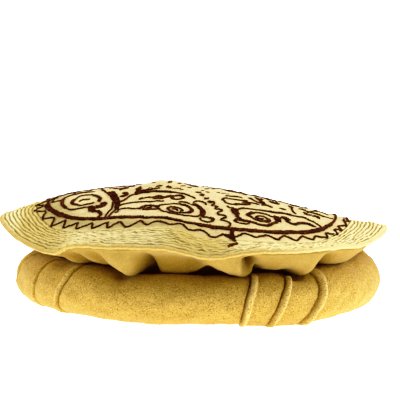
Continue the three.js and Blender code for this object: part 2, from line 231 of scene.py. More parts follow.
def table(columns, *rows):
    """The columns of a table by name."""
    return dict(zip(columns.split(), np.array(rows, float).T))


# Each row is a place round the hat, in degrees from the front (0) by the right (90), with the
# heights of the border's inner and outer edge there and how full the panel is between them.
CROWN_WAVES = table(
    "at border edge belly",
    (-90, 72.1, 65.9, 7),
    (-76, 68.9, 63.3, 6),
    (-64, 64.2, 57.6, 5),
    (-53, 62, 52.2, 5),
    (-44, 62.9, 50.2, 5),
    (-37, 64.6, 56.8, 5),
    (-22, 67, 57.4, 5),
    (-8, 68, 57.4, 4.5),
    (5, 61.6, 51.2, 4),
    (17, 59.9, 55.2, 4),
    (32, 57.2, 54.8, 4),
    (47, 55.5, 55.3, 4),
    (57, 56.8, 54, 3),
    (70, 60.2, 56.2, 2),
    (90, 63.4, 59.2, 1),
    (112, 59.6, 53.6, 2),
    (140, 60.1, 53.6, 4),
    (165, 65.1, 58.6, 5),
    (190, 69.6, 57.1, 6),
    (215, 73.6, 62.6, 7),
    (245, 75.1, 64.6, 7.5),
)


def cubic(t, start, slope_in, end, slope_out, span=1):
    """A smooth curve between two values that has a given slope at each of them."""
    return (
        (2 * t**3 - 3 * t**2 + 1) * start
        + (t**3 - 2 * t**2 + t) * span * slope_in
        + (3 * t**2 - 2 * t**3) * end
        + (t**3 - t**2) * span * slope_out
    )


def wave(rows, column):
    """A function that passes smoothly round the hat through one column of a table."""
    at = np.concatenate([rows["at"][-2:] - 360, rows["at"], rows["at"][:3] + 360])
    value = np.concatenate([rows[column][-2:], rows[column], rows[column][:3]])
    slope = np.zeros_like(value)
    slope[1:-1] = (value[2:] - value[:-2]) / (at[2:] - at[:-2])

    def value_at(degrees):
        a = rows["at"][0] + np.mod(np.asarray(degrees, float) - rows["at"][0], 360)
        i = np.searchsorted(at, a, side="right") - 1
        span = at[i + 1] - at[i]
        return cubic((a - at[i]) / span, value[i], slope[i], value[i + 1], slope[i + 1], span)

    return value_at


def plan_place(radius, degrees):
    """x and y of a place, from its distance and its angle round from the front."""
    a = np.radians(degrees)
    return radius * np.sin(a), -radius * np.cos(a)


def from_middle(x, y):
    """The distance of a place and its angle round from the front."""
    return np.hypot(x, y), np.degrees(np.arctan2(x, -y))


def unit(vectors):
    return vectors / (np.linalg.norm(vectors, axis=-1, keepdims=True) + 1e-12)


def smooth_step(value, low, high):
    t = np.clip((np.asarray(value, float) - low) / (high - low), 0, 1)
    return t * t * (3 - 2 * t)


def unevenness(points, wavelength, seed):
    """Soft random waves, mostly between -1 and 1, at points in millimetres."""
    random = np.random.default_rng(seed)
    total = 0
    for _ in range(10):
        direction = random.normal(size=3)
        direction /= np.linalg.norm(direction)
        turns = points @ direction * 2 * math.pi / (wavelength * random.uniform(0.6, 1.6))
        total = total + np.sin(turns + random.uniform(0, 2 * math.pi))
    return total / math.sqrt(10)


def swelling(points, layers):
    """The felt's own unevenness, from layers with a height, a wavelength and a seed."""
    return sum(height * unevenness(points, wavelength, seed) for height, wavelength, seed in layers)


border_height = wave(CROWN_WAVES, "border")
edge_height = wave(CROWN_WAVES, "edge")
belly_height = wave(CROWN_WAVES, "belly")


def softened(t):
    """A way out from the centre, rounded where it starts."""
    start = TIP_SOFTNESS
    return (np.hypot(t, start) - start) / (math.hypot(1, start) - start)


def crown_face(x, y):
    """Height of the crown's upper face over a point of its plan."""
    radius, degrees = from_middle(x, y)
    share = radius / CROWN_RADIUS
    border, edge, belly = (f(degrees) for f in (border_height, edge_height, belly_height))
    t = share / BORDER_START
    panel = CENTRE_HEIGHT + (MEAN_BORDER_HEIGHT - CENTRE_HEIGHT) * softened(t)
    panel = panel + (border - MEAN_BORDER_HEIGHT) * t**2 + belly * 2 * t * (1 - t) * (1 + t)
    rest = 1 - BORDER_START
    t = (share - BORDER_START) / rest
    # The border starts with half of the panel's fall, and is steeper at its outer edge.
    fall = (2 * border - CENTRE_HEIGHT - MEAN_BORDER_HEIGHT - 4 * belly) * rest / BORDER_START
    slope_in = 0.5 * fall + 0.3 * (edge - border)
    slope_out = 1.6 * (edge - border) - EDGE_DROOP
    quilted = cubic(t, border, slope_in, edge, slope_out)
    away = (x - PEAK_PLACE[0]) ** 2 + (y - PEAK_PLACE[1]) ** 2
    peak = PEAK_RISE * np.exp(-away / (2 * PEAK_WIDTH**2))
    return np.where(share < BORDER_START, panel, quilted) + peak


def crown_normal(x, y):
    step = 0.5
    across = (crown_face(x + step, y) - crown_face(x - step, y)) / (2 * step)
    along = (crown_face(x, y + step) - crown_face(x, y - step)) / (2 * step)
    return unit(np.stack([-across, -along, np.ones_like(across)], axis=-1))


def quilt_wobble(degrees, ring):
    """How far a sewn ring strays in and out, in millimetres."""
    a = np.radians(degrees)
    shared = 0.35 * np.sin(3 * a + 0.7) + 0.3 * np.sin(7 * a + 2.1)
    return shared + 0.22 * np.sin(17 * a + 1.7 * ring) + 0.16 * np.sin(41 * a + 2.9 * ring)


def quilt_relief(radius, degrees):
    """The puffed felt between the sewn rings: 0 on its crests and 1 on a ring."""
    place = (radius - QUILT_FIRST_RADIUS) / QUILT_SPACING
    nearest = np.clip(np.round(place), 0, QUILT_RINGS - 1)
    relief = 0
    for ring in (nearest - 1, nearest, nearest + 1):
        off = radius - QUILT_FIRST_RADIUS - ring * QUILT_SPACING - quilt_wobble(degrees, ring)
        real = (ring >= 0) & (ring < QUILT_RINGS)
        relief = np.maximum(relief, real * np.exp(-((off / CHANNEL_HALF_WIDTH) ** 2)))
    return relief


def crown_surface(x, y, detail=True):
    """Points of the upper face, with the quilting and the felt's own unevenness."""
    flat = np.stack([x, y, crown_face(x, y)], axis=-1)
    if not detail:
        return flat
    radius, degrees = from_middle(x, y)
    pull = np.clip(0.8 + 0.3 * unevenness(flat, 15, 6), 0.2, 1.2)
    lift = swelling(flat, FELT_SWELLING) - QUILT_DEPTH * pull * quilt_relief(radius, degrees)
    in_border = smooth_step(radius, QUILT_FIRST_RADIUS - QUILT_MARGIN, QUILT_FIRST_RADIUS)
    lift = lift + in_border * swelling(flat, BORDER_SWELLING)
    return flat + crown_normal(x, y) * lift[..., None]


def grid_faces(rows, columns, closed_rows=True, closed_columns=True, copies=1):
    """Faces of grids of points that close on themselves in either direction, or don't."""
    i = np.arange(rows if closed_rows else rows - 1)[:, None]
    j = np.arange(columns if closed_columns else columns - 1)[None, :]
    ni, nj = (i + 1) % rows, (j + 1) % columns
    faces = np.stack([
        i * columns + j, i * columns + nj, ni * columns + nj, ni * columns + j,
    ], axis=-1)
    first = np.arange(copies)[:, None, None] * rows * columns
    return (first + faces.reshape(-1, 4)).reshape(-1, 4)


lip_radius = BORDER_THICKNESS / 2
outer_row = CROWN_RADIUS - lip_radius
border_row = QUILT_FIRST_RADIUS - QUILT_MARGIN
top_radii = np.concatenate([
    np.linspace(TIP_RADIUS, border_row, PANEL_ROWS, endpoint=False),
    np.linspace(border_row, outer_row, BORDER_ROWS),
])
under_radii = np.linspace(outer_row, TIP_RADIUS, UNDER_ROWS)
angle = np.arange(CROWN_STEPS)[:, None] * 360 / CROWN_STEPS
turn = np.linspace(0, math.pi, LIP_STEPS + 1)[1:-1, None]

top_side = crown_surface(*plan_place(top_radii, angle))
edge = plan_place(outer_row, angle)
outward = np.stack([*plan_place(1, angle), 0 * angle], axis=-1)
lip = crown_surface(*edge) + lip_radius * (
    outward * (LIP_FULLNESS * np.sin(turn)) - crown_normal(*edge) * (1 - np.cos(turn))
)
thickness = PANEL_THICKNESS + (BORDER_THICKNESS - PANEL_THICKNESS) * smooth_step(
    under_radii / CROWN_RADIUS, BORDER_START - 0.04, BORDER_START + 0.04)
under = plan_place(under_radii, angle)
under_side = crown_surface(*under, detail=False) - crown_normal(*under) * thickness[:, None]
rings = np.concatenate([top_side, lip, under_side], axis=1)
ring_count = rings.shape[1]
tip_height = float(crown_face(0, 0))
tips = [(0, 0, tip_height), (0, 0, tip_height - PANEL_THICKNESS)]
crown_points = np.concatenate([rings.reshape(-1, 3), tips])
top_tip, under_tip = len(crown_points) - 2, len(crown_points) - 1
crown_faces = [tuple(f) for f in grid_faces(CROWN_STEPS, ring_count, closed_columns=False)]
starts = np.arange(CROWN_STEPS) * ring_count
for here, beyond in zip(starts, np.roll(starts, -1)):
    crown_faces.append((top_tip, here, beyond))
    crown_faces.append((under_tip, beyond + ring_count - 1, here + ring_count - 1))
crown_piece = mesh_object("crown_felt", crown_points, crown_faces)

# Where each point lies among the sewn rings, counted in rings, for the olive shade painted
# along the channels.
row_place = (np.hypot(rings[..., 0], rings[..., 1]) - QUILT_FIRST_RADIUS) / QUILT_SPACING
nearest = np.clip(np.round(row_place), 0, QUILT_RINGS - 1)
row_place = row_place - quilt_wobble(angle, nearest) / QUILT_SPACING
row_place = np.clip(row_place, -0.5, QUILT_RINGS - 0.5)
row_place[:, len(top_radii):] = QUILT_RINGS - 0.5
row_place = np.append(row_place, [-0.5, QUILT_RINGS - 0.5])

# The wool: short fibres of a lighter and a darker tone, felted together in every direction.
STREAK_SCALE = 1000
CRUMB_SCALE = 760
CLOUD_SCALE = 90
FLECK_RANGE = (0.54, 0.68)
CLOUD_RANGE = (0.4, 0.65)
WOOL_SOCKETS = [  # name, kind, default
    ("Base", "NodeSocketColor", (0.8, 0.7, 0.4, 1)),
    ("Light fibre", "NodeSocketColor", (1, 0.9, 0.6, 1)),
    ("Dark fibre", "NodeSocketColor", (0.4, 0.3, 0.1, 1)),
    ("Fleck size", "NodeSocketFloat", 1.0),
    ("Light share", "NodeSocketFloat", 0.5),
    ("Dark share", "NodeSocketFloat", 0.5),
    ("Cloudiness", "NodeSocketFloat", 0.2),
]
wool = bpy.data.node_groups.new("felted_wool", "ShaderNodeTree")
for name, kind, default in WOOL_SOCKETS:
    socket = wool.interface.new_socket(name, in_out="INPUT", socket_type=kind)
    socket.default_value = default
wool.interface.new_socket("Colour", in_out="OUTPUT", socket_type="NodeSocketColor")
wool.interface.new_socket("Height", in_out="OUTPUT", socket_type="NodeSocketFloat")
given = wool.nodes.new("NodeGroupInput")
result = wool.nodes.new("NodeGroupOutput")
place = wool.nodes.new("ShaderNodeTexCoord").outputs["Object"]


def blend_colours(tree, share, first, second):
    """A colour between two others, each a plain colour or a socket."""
    node = add_node(tree, "ShaderNodeMix", data_type="RGBA")
    tree.links.new(share, node.inputs[0])
    for socket, value in ((node.inputs[6], first), (node.inputs[7], second)):
        if isinstance(value, tuple):
            socket.default_value = (*value, 1)
        else:
            tree.links.new(value, socket)
    return node.outputs[2]


def fibre_noise(turn, stretch, size, roughness=0.6):
    """Noise drawn out into short streaks along one direction."""
    mapping = add_node(wool, "ShaderNodeMapping", {"Rotation": turn, "Scale": stretch})
    wool.links.new(place, mapping.inputs["Vector"])
    noise = add_node(wool, "ShaderNodeTexNoise", {"Detail": 2.5, "Roughness": roughness})
    wool.links.new(mapping.outputs["Vector"], noise.inputs["Vector"])
    wool.links.new(maths(wool, "DIVIDE", size, given.outputs["Fleck size"]), noise.inputs["Scale"])
    return noise.outputs["Fac"]


def fleck_mask(first, second, share):
    """Where either of two noises is high, weakened to a share."""
    mask = ramp(wool, maths(wool, "MAXIMUM", first, second), *FLECK_RANGE)
    return maths(wool, "MULTIPLY", mask, given.outputs[share], clamp=True)


streaks = [
    fibre_noise((0.3, 0.5, 0.2), (1, 1, 0.5), STREAK_SCALE),
    fibre_noise((1.2, 0.2, 0.9), (1, 0.5, 1), STREAK_SCALE),
    fibre_noise((0.7, 1.3, 2.1), (0.5, 1, 1), STREAK_SCALE),
]
crumbs = fibre_noise((0, 0, 0), (1, 1, 1), CRUMB_SCALE, 0.7)
clouds = ramp(wool, fibre_noise((0, 0, 0), (1, 1, 1), CLOUD_SCALE), *CLOUD_RANGE)
light_mask = fleck_mask(streaks[0], streaks[1], "Light share")
dark_mask = fleck_mask(streaks[2], crumbs, "Dark share")
cloud_share = maths(wool, "MULTIPLY", clouds, given.outputs["Cloudiness"])
colour = blend_colours(wool, cloud_share, given.outputs["Base"], given.outputs["Dark fibre"])
colour = blend_colours(wool, dark_mask, colour, given.outputs["Dark fibre"])
colour = blend_colours(wool, light_mask, colour, given.outputs["Light fibre"])
height = maths(wool, "MULTIPLY", crumbs, 0.8)
for streak in streaks[:2]:
    height = maths(wool, "ADD", height, maths(wool, "MULTIPLY", streak, 0.5))
wool.links.new(colour, result.inputs["Colour"])
wool.links.new(height, result.inputs["Height"])


def wool_material(name, base, light, dark, fleck, light_share, dark_share, cloudiness, bump,
                  sheen, depth=0.35):
    """A felted wool material, its tree and its wool node."""
    material, tree, shader = new_material(name)
    group = add_node(tree, "ShaderNodeGroup", node_tree=wool)
    set_inputs(group, {
        "Base": (*base, 1), "Light fibre": (*light, 1), "Dark fibre": (*dark, 1),
        "Fleck size": fleck, "Light share": light_share, "Dark share": dark_share,
        "Cloudiness": cloudiness,
    })
    set_inputs(shader, {
        "Roughness": 0.95, "Specular IOR Level": 0.15, "Sheen Weight": sheen,
        "Sheen Roughness": 0.35, "Sheen Tint": (1, 0.95, 0.8, 1),
    })
    relief = add_node(tree, "ShaderNodeBump", {"Strength": bump, "Distance": depth * MM})
    tree.links.new(group.outputs["Height"], relief.inputs["Height"])
    tree.links.new(relief.outputs["Normal"], shader.inputs["Normal"])
    tree.links.new(group.outputs["Colour"], shader.inputs["Base Color"])
    return material, tree, group


def marked(piece, tree, name, values):
    """A value for each point of a piece, as the material reads it."""
    attribute = piece.data.attributes.new(name, "FLOAT", "POINT")
    attribute.data.foreach_set("value", np.ravel(values).astype(np.float32))
    return add_node(tree, "ShaderNodeAttribute", attribute_name=name).outputs["Fac"]


def between(tree, value, start, full, ebb, end):
    """A share that is 1 between two places, and fades out on both sides."""
    rising, falling = ramp(tree, value, start, full), ramp(tree, value, ebb, end, 1, 0)
    return maths(tree, "MULTIPLY", rising, falling)


CREAM = (0.73, 0.615, 0.325)
# painted shade for the left part of the crown, outside the ring
SHADED_CREAM = (0.5, 0.405, 0.17)
STRAW = (0.93, 0.81, 0.42)
# painted shade for the hollows of the quilted border
SHADED_STRAW = (0.76, 0.6, 0.22)
GOLD = (0.63, 0.455, 0.148)
# painted shade along the sewn channels
OLIVE_CHANNEL_SHADE = (0.25, 0.18, 0.035)
CHANNEL_SHADE_CORE = 0.14
CHANNEL_SHADE_RIM = 0.3
LEFT_SHADE_PART = (-0.02, 0.03)  # metres from the middle, as the next six are
RIGHT_HIGHLIGHT_PART = (0.03, 0.1)
OUTSIDE_RING = (0.086, 0.1)
QUILTED_FROM = (0.106, 0.116)
TURNED_EDGE = (0.1345, 0.1385)
LEFT_HOLLOW_SHADE = (-0.128, -0.118, -0.1, -0.08)
MIDDLE_HOLLOW_SHADE = (-0.03, -0.005, 0.015, 0.035)
# share of gold left on the turned edge at the right, under a painted highlight
RIGHT_HIGHLIGHT_GOLD_SHARE = 0.35
PATCH_SCALE = 90
PATCH_RANGE = (0.38, 0.6)
PALEST_CHANNEL_SHADE = 0.65

crown_wool, tree, group = wool_material(
    "crown_wool", CREAM, (0.9, 0.8, 0.5), (0.62, 0.46, 0.15), fleck=0.8,
    light_share=0.4, dark_share=0.3, cloudiness=0.12, bump=0.45, sheen=0.2)
# Cream over the middle, with painted shade outside the ring at the left, straw-coloured where
# it is quilted, with painted shade in its hollows, and golden at the turned edge, paled at the
# right by a painted highlight. Each sewn channel gets a painted olive shade.
spot = add_node(tree, "ShaderNodeTexCoord").outputs["Object"]
parts = add_node(tree, "ShaderNodeSeparateXYZ")
tree.links.new(spot, parts.inputs["Vector"])
across = parts.outputs["X"]
squares = [maths(tree, "POWER", parts.outputs[axis], 2) for axis in "XY"]
radius = maths(tree, "SQRT", maths(tree, "ADD", *squares))
# Painted shade over the left part of the crown, outside the ring.
shade_at_left = ramp(tree, across, *LEFT_SHADE_PART, 1, 0)
painted_left_shade = maths(tree, "MULTIPLY", shade_at_left, ramp(tree, radius, *OUTSIDE_RING))
colour = blend_colours(tree, painted_left_shade, CREAM, SHADED_CREAM)
# Painted shade in the quilted border's hollows, at the left and at the front.
hollow_shades = [between(tree, across, *hollow) for hollow in (LEFT_HOLLOW_SHADE, MIDDLE_HOLLOW_SHADE)]
quilted = blend_colours(tree, maths(tree, "MAXIMUM", *hollow_shades), STRAW, SHADED_STRAW)
colour = blend_colours(tree, ramp(tree, radius, *QUILTED_FROM), colour, quilted)
# A painted highlight pales the golden edge towards the right.
gold_under_right_highlight = ramp(tree, across, *RIGHT_HIGHLIGHT_PART, 1, RIGHT_HIGHLIGHT_GOLD_SHARE)
edge_gold_share = maths(tree, "MULTIPLY", ramp(tree, radius, *TURNED_EDGE), gold_under_right_highlight)
colour = blend_colours(tree, edge_gold_share, colour, GOLD)
# Painted olive shade along each sewn channel, patchy in strength.
off_row = maths(tree, "PINGPONG", marked(crown_piece, tree, "sewn_row", row_place), 0.5)
channel_shade = ramp(tree, off_row, CHANNEL_SHADE_CORE, CHANNEL_SHADE_RIM, 1, 0)
patches = add_node(tree, "ShaderNodeTexNoise", {"Scale": PATCH_SCALE, "Detail": 2})
tree.links.new(spot, patches.inputs["Vector"])
depth = ramp(tree, patches.outputs["Fac"], *PATCH_RANGE, PALEST_CHANNEL_SHADE, 1)
channel_shade = maths(tree, "MULTIPLY", channel_shade, depth)
colour = blend_colours(tree, channel_shade, colour, OLIVE_CHANNEL_SHADE)
tree.links.new(colour, group.inputs["Base"])
crown_piece.data.materials.append(crown_wool)
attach(crown_piece, "root")
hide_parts("crown")

# ---- Quilting stitches ----------------------------------------------------------------------
# Rings of short machine stitches in olive thread hold the border's two layers together. Each
# stitch lies at the bottom of the channel that it pulls into the felt.

STITCH_PITCH = 3.1
STITCH_LENGTH = 2.3
STITCH_SHARES = (0.55, 1.15)
STITCH_STRAY = 0.25
STITCH_SIDE_STRAY = 0.1
STITCH_RISE = 0.12
STITCH_DIVE = 0.5
STITCH_REACH = np.array([-1.0, -0.8, -0.3, 0.3, 0.8, 1.0])
STITCH_TAPER = np.array([0.25, 0.85, 1, 1, 0.85, 0.25])
THREAD_RADIUS = 0.22
THREAD_SIDES = 3


def tubes(paths, radii, sides):
    """Joined tubes with pointed ends: paths is (tubes, steps, 3), radii is (steps,)."""
    count, steps, _ = paths.shape
    along = unit(np.gradient(paths, axis=1))
    side = unit(np.cross(along, [0, 0, 1]))
    over = np.cross(side, along)
    turn = np.arange(sides) * 2 * math.pi / sides
    ring = side[..., None, :] * np.cos(turn)[:, None] + over[..., None, :] * np.sin(turn)[:, None]
    points = paths[:, :, None, :] + ring * radii[:, None, None]
    return points.reshape(-1, 3), grid_faces(steps, sides, closed_rows=False, copies=count)


random = np.random.default_rng(5)
stitch_paths = []
for ring in range(QUILT_RINGS):
    ring_radius = QUILT_FIRST_RADIUS + ring * QUILT_SPACING
    count = int(2 * math.pi * ring_radius / STITCH_PITCH)
    middle = (np.arange(count) + random.uniform(0, 1)) * 360 / count
    middle = middle + random.normal(0, STITCH_STRAY, count)
    half = np.degrees(STITCH_LENGTH / 2 / ring_radius) * random.uniform(*STITCH_SHARES, count)
    degrees = middle[:, None] + half[:, None] * STITCH_REACH
    stray = random.normal(0, STITCH_SIDE_STRAY, (count, 1))
    seat = plan_place(ring_radius + quilt_wobble(degrees, ring) + stray, degrees)
    rise = STITCH_RISE - STITCH_DIVE * np.abs(STITCH_REACH) ** 3
    stitch_paths.append(crown_surface(*seat) + crown_normal(*seat) * rise[:, None])
quilting = mesh_object("quilting_stitches", *tubes(
    np.concatenate(stitch_paths), THREAD_RADIUS * STITCH_TAPER, THREAD_SIDES))
thread_material, tree, shader = new_material("olive_thread")
set_inputs(shader, {"Roughness": 0.85, "Specular IOR Level": 0.1})


def patchy_colour(tree, shader, first, second, scale, low=0.4, high=0.6):
    """A shader's colour that passes between two tones over a few threads."""
    noise = add_node(tree, "ShaderNodeTexNoise", {"Scale": scale, "Detail": 3})
    spot = add_node(tree, "ShaderNodeTexCoord")
    tree.links.new(spot.outputs["Object"], noise.inputs["Vector"])
    share = ramp(tree, noise.outputs["Fac"], low, high)
    tree.links.new(blend_colours(tree, share, first, second), shader.inputs["Base Color"])


patchy_colour(tree, shader, (0.3, 0.19, 0.04), (0.52, 0.36, 0.1), 160)
quilting.data.materials.append(thread_material)
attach(quilting, "root")

# ---- Embroidery -----------------------------------------------------------------------------
# The crown is worked by hand in chain stitch with dark maroon wool: a thick ring, a zigzag
# outside it, and scrolls and leaves in the fields inside. The scrolls come again, turned half
# way round, in the back half.

LINK_PITCH = 2.2
LINK_LENGTH = 2.9
LINK_WIDTH = 0.85
LINK_POINTS = 8
LINK_SCATTER = 0.09
LINK_LEAN = 0.12
LINK_SIZES = (0.9, 1.12)
YARN_RADIUS = 0.42
YARN_SIDES = 4
ROW_SPACING = 1.25
ROW_STAGGER = 0.6
END_ROUNDING = 0.9
BACK_SHARE = 0.94
ZIGZAG_STEPS = 50
ZIGZAG_ROUNDING = 17
CENTRE_RADIUS = 3

FRONT_RING = [  # degrees and radius, from the left round the front to the right
    (-90, 105), (-75, 102.8), (-60, 96.6), (-45, 92), (-30, 91), (-15, 93), (-5, 95.8), (3, 94.4),
    (15, 97.4), (30, 99.5), (45, 101), (60, 103.3), (75, 103), (90, 102),
]
BACK_RING = [(180 - at, radius) for at, radius in FRONT_RING[-2:0:-1]]
RING_PARTS = [  # rows, from, to
    (3, -90, -22), (2, -22, 2), (3, 2, 62), (2, 62, 71), (1, 71, 100), (2, 100, 235), (1, 235, 270),
]
ZIGZAG = [  # degrees and radius of its corners, from the left round the front to the right
    (-90, 106), (-85, 115), (-78, 107), (-72, 112.5), (-68.5, 105), (-62.5, 112.5),
    (-61.5, 102), (-55.5, 110.5), (-53.5, 100.5), (-48.5, 109), (-45, 99.5), (-40, 109),
    (-36.5, 99.5), (-32.5, 110.5), (-31, 98.5), (-25.5, 108.5), (-24, 106.5), (-21.5, 98.5),
    (-17.5, 106), (-13.5, 99.5), (-9, 105.5), (-6, 101.5), (-4, 101.5), (-2, 107.5), (0, 107),
    (2.5, 102), (4, 102.5), (6, 109.5), (8, 110), (11.5, 105), (15.5, 109), (19.5, 103),
    (23.5, 108), (29, 104), (32, 110), (37, 104.5), (40, 111), (45.5, 106), (48.5, 111),
    (52.5, 107.5), (56.5, 112.5), (59, 108), (63, 114), (66, 108.5), (69.5, 112.5), (71, 108),
    (76.5, 112), (80.5, 109), (85, 112), (90, 109.5),
]
LEFT_FIELD = [  # rows of chain stitch, and the points that they pass through
    (1, [(-72, -30), (-76, -31), (-82, -31.5), (-87, -30), (-90.5, -26)]),
    (2, [(-90.5, -26), (-93, -18), (-94, -7), (-93.5, 4.5)]),
    (1, [(-93.5, 4.5), (-90.5, 10.5), (-88, 15.5), (-85.5, 23)]),
    (2, [(-83, -23.5), (-86, -19), (-86.5, -12.5), (-85, -6)]),
    (1, [(-85, -6), (-82, -1), (-77.5, 1.5), (-72, -2)]),
    (2, [(-72, -2), (-68.5, -9.5), (-66.5, -18), (-67.5, -23.5)]),
    (1, [(-83, -23.5), (-79, -26), (-75, -25), (-70.5, -25)]),
    (1, [(-81.5, -15.5), (-79, -13), (-73.5, -14)]),
    (4, [(-72.5, -29), (-72, -35), (-71.5, -42)]),
    (4, [(-63.5, -25), (-64, -31), (-67, -35)]),
    (2, [(-68, -30), (-68, -37)]),
    (2, [(-71, -43), (-67, -45.5), (-65, -52), (-65.5, -57.5), (-67.5, -62.5)]),
    (1, [(-102.5, 6), (-99, 1.5), (-95, 0)]),
    (1, [(-98.5, 20), (-102.5, 20), (-106, 18)]),
]
LEFT_BAND = [
    (1, [(-64, 7), (-61, -6), (-58.5, -17), (-57, -26), (-57, -36.5), (-57.5, -46.5)]),
    (2, [(-58, 0.5), (-56, -12), (-54, -23), (-53, -35), (-53.5, -46)]),
    (1, [(-61, 2), (-58, -11.5), (-56, -23.5), (-55, -35), (-55, -47.5)]),
    (1, [(-57.5, -46.5), (-59.5, -52.5), (-61, -59.5), (-61.5, -67.5)]),
    (1, [(-53.5, -50.5), (-56.5, -57), (-58.5, -63.5), (-59.5, -70)]),
    (1, [(-52.5, -49.5), (-53, -56.5), (-55, -59)]),
    (1, [(-53, -33.5), (-50.5, -29.5), (-47.5, -24), (-44.5, -19.5), (-41, -17.5)]),
]
MIDDLE_FIELD = [
    (3, [(-39.5, -4), (-39, -10.5), (-40.5, -16)]),
    (2, [(-53, 3), (-50.5, 6), (-47.5, 1.5)]),
    (2, [(-52.5, -17), (-49.5, -18), (-47.5, -15.5), (-50, -10.5)]),
    (2, [(-41, -17.5), (-36.5, -16.5), (-31, -17.5), (-24, -20.5), (-16.5, -24), (-11, -27.5)]),
    (1, [(-11, -27.5), (-5.5, -32), (-1, -36), (1.5, -41)]),
    (1, [(-37.5, -13), (-31, -13.5), (-24, -14.5)]),
    (3, [(-38.5, -32), (-35.5, -32)]),
    (1, [(-35.5, -31.5), (-31.5, -31.5), (-27.5, -34.5)]),
    (2, [(-27.5, -34.5), (-25, -31.5), (-22, -36), (-23, -41), (-26.5, -39), (-27.5, -34.5)]),
    (3, [(-21, -38.5), (-18, -36.5), (-14.5, -35)]),
    (2, [(-14.5, -35), (-10, -35), (-7, -39.5), (-9.5, -46), (-13.5, -45), (-15.5, -39.5)]),
    (1, [(-52, -41.5), (-48.5, -39), (-42.5, -40), (-36, -43), (-29, -47), (-20.5, -50)]),
    (1, [(-52, -53.5), (-46.5, -54.5), (-41.5, -60), (-36.5, -64.5)]),
    (3, [(-36, -63), (-34.5, -58.5), (-32, -57.5)]),
    (2, [(-32, -56.5), (-27.5, -60), (-24.5, -66)]),
    (2, [(-35, -64.5), (-30, -68.5), (-24.5, -70)]),
    (1, [(-32.5, -63), (-29, -63)]),
    (1, [(-24.5, -69), (-21, -76), (-16, -81.5), (-10.5, -84.5), (-5, -84), (0, -82), (4.5, -78.5)]),
    (1, [(-25, -65), (-22.5, -60.5), (-18.5, -59.5), (-13.5, -58.5), (-8.5, -60)]),
    (2, [(-8.5, -60), (-5, -62), (-2, -66.5), (-1, -71.5), (-3.5, -77.5)]),
    (1, [(-3.5, -77.5), (-8, -80.5), (-12, -80.5), (-16, -76.5), (-18, -71.5)]),
    (2, [(-18, -71.5), (-16.5, -68.5), (-13, -68)]),
    (1, [(-13, -68), (-9.5, -71), (-7.5, -75), (-9.5, -77.5)]),
    (1, [(-15, -72.5), (-12.5, -73), (-10.5, -76.5)]),
    (1, [(-10, -54), (-6, -54.5), (-2, -56)]),
    (3, [(-1, -54.5), (2, -56.5), (5, -62), (6.5, -68), (6.5, -73.5), (5.5, -79)]),
    (1, [(0, -51.5), (3, -47.5), (6.5, -47), (8.5, -50), (8.5, -53.5)]),
    (1, [(5, -80.5), (5, -84.5), (7.5, -87.5), (10.5, -87.5), (13, -85)]),
    (2, [(13, -85), (13.5, -81), (11, -79)]),
    (1, [(11, -79), (9, -78.5), (6.5, -80)]),
]
MIDDLE_VINE = [
    (1, [(5, -28.3), (6.1, -26.8), (7.3, -28.5), (6.4, -30.8), (5.2, -29.3)]),
    (1, [(7.7, -35.4), (9.3, -37.7), (11, -36.2)]),
    (1, [(8.5, -39.5), (10.7, -38.8)]),
    (1, [(10.1, -44.4), (11.7, -43.4), (14.2, -45.4)]),
    (1, [(10.7, -47.7), (13.4, -48)]),
    (1, [(10, -45), (14, -44.5), (14.5, -49.5), (13, -54), (16.5, -55), (15.5, -60), (19, -60.5),
         (20, -63.5), (17, -67.5), (18, -71), (21.5, -72.5), (22.5, -76), (19, -80), (23, -82.5),
         (25.5, -86), (25, -89.5), (22.5, -94.5)]),
    (2, [(27.5, -95), (26.5, -99.5), (26.5, -103)]),
    (2, [(22, -103.5), (24.5, -105.5), (27, -108)]),
    (2, [(26, -103.5), (27.5, -107.5), (28.5, -112)]),
    (2, [(23.5, -124), (26, -120), (30, -115.5)]),
]
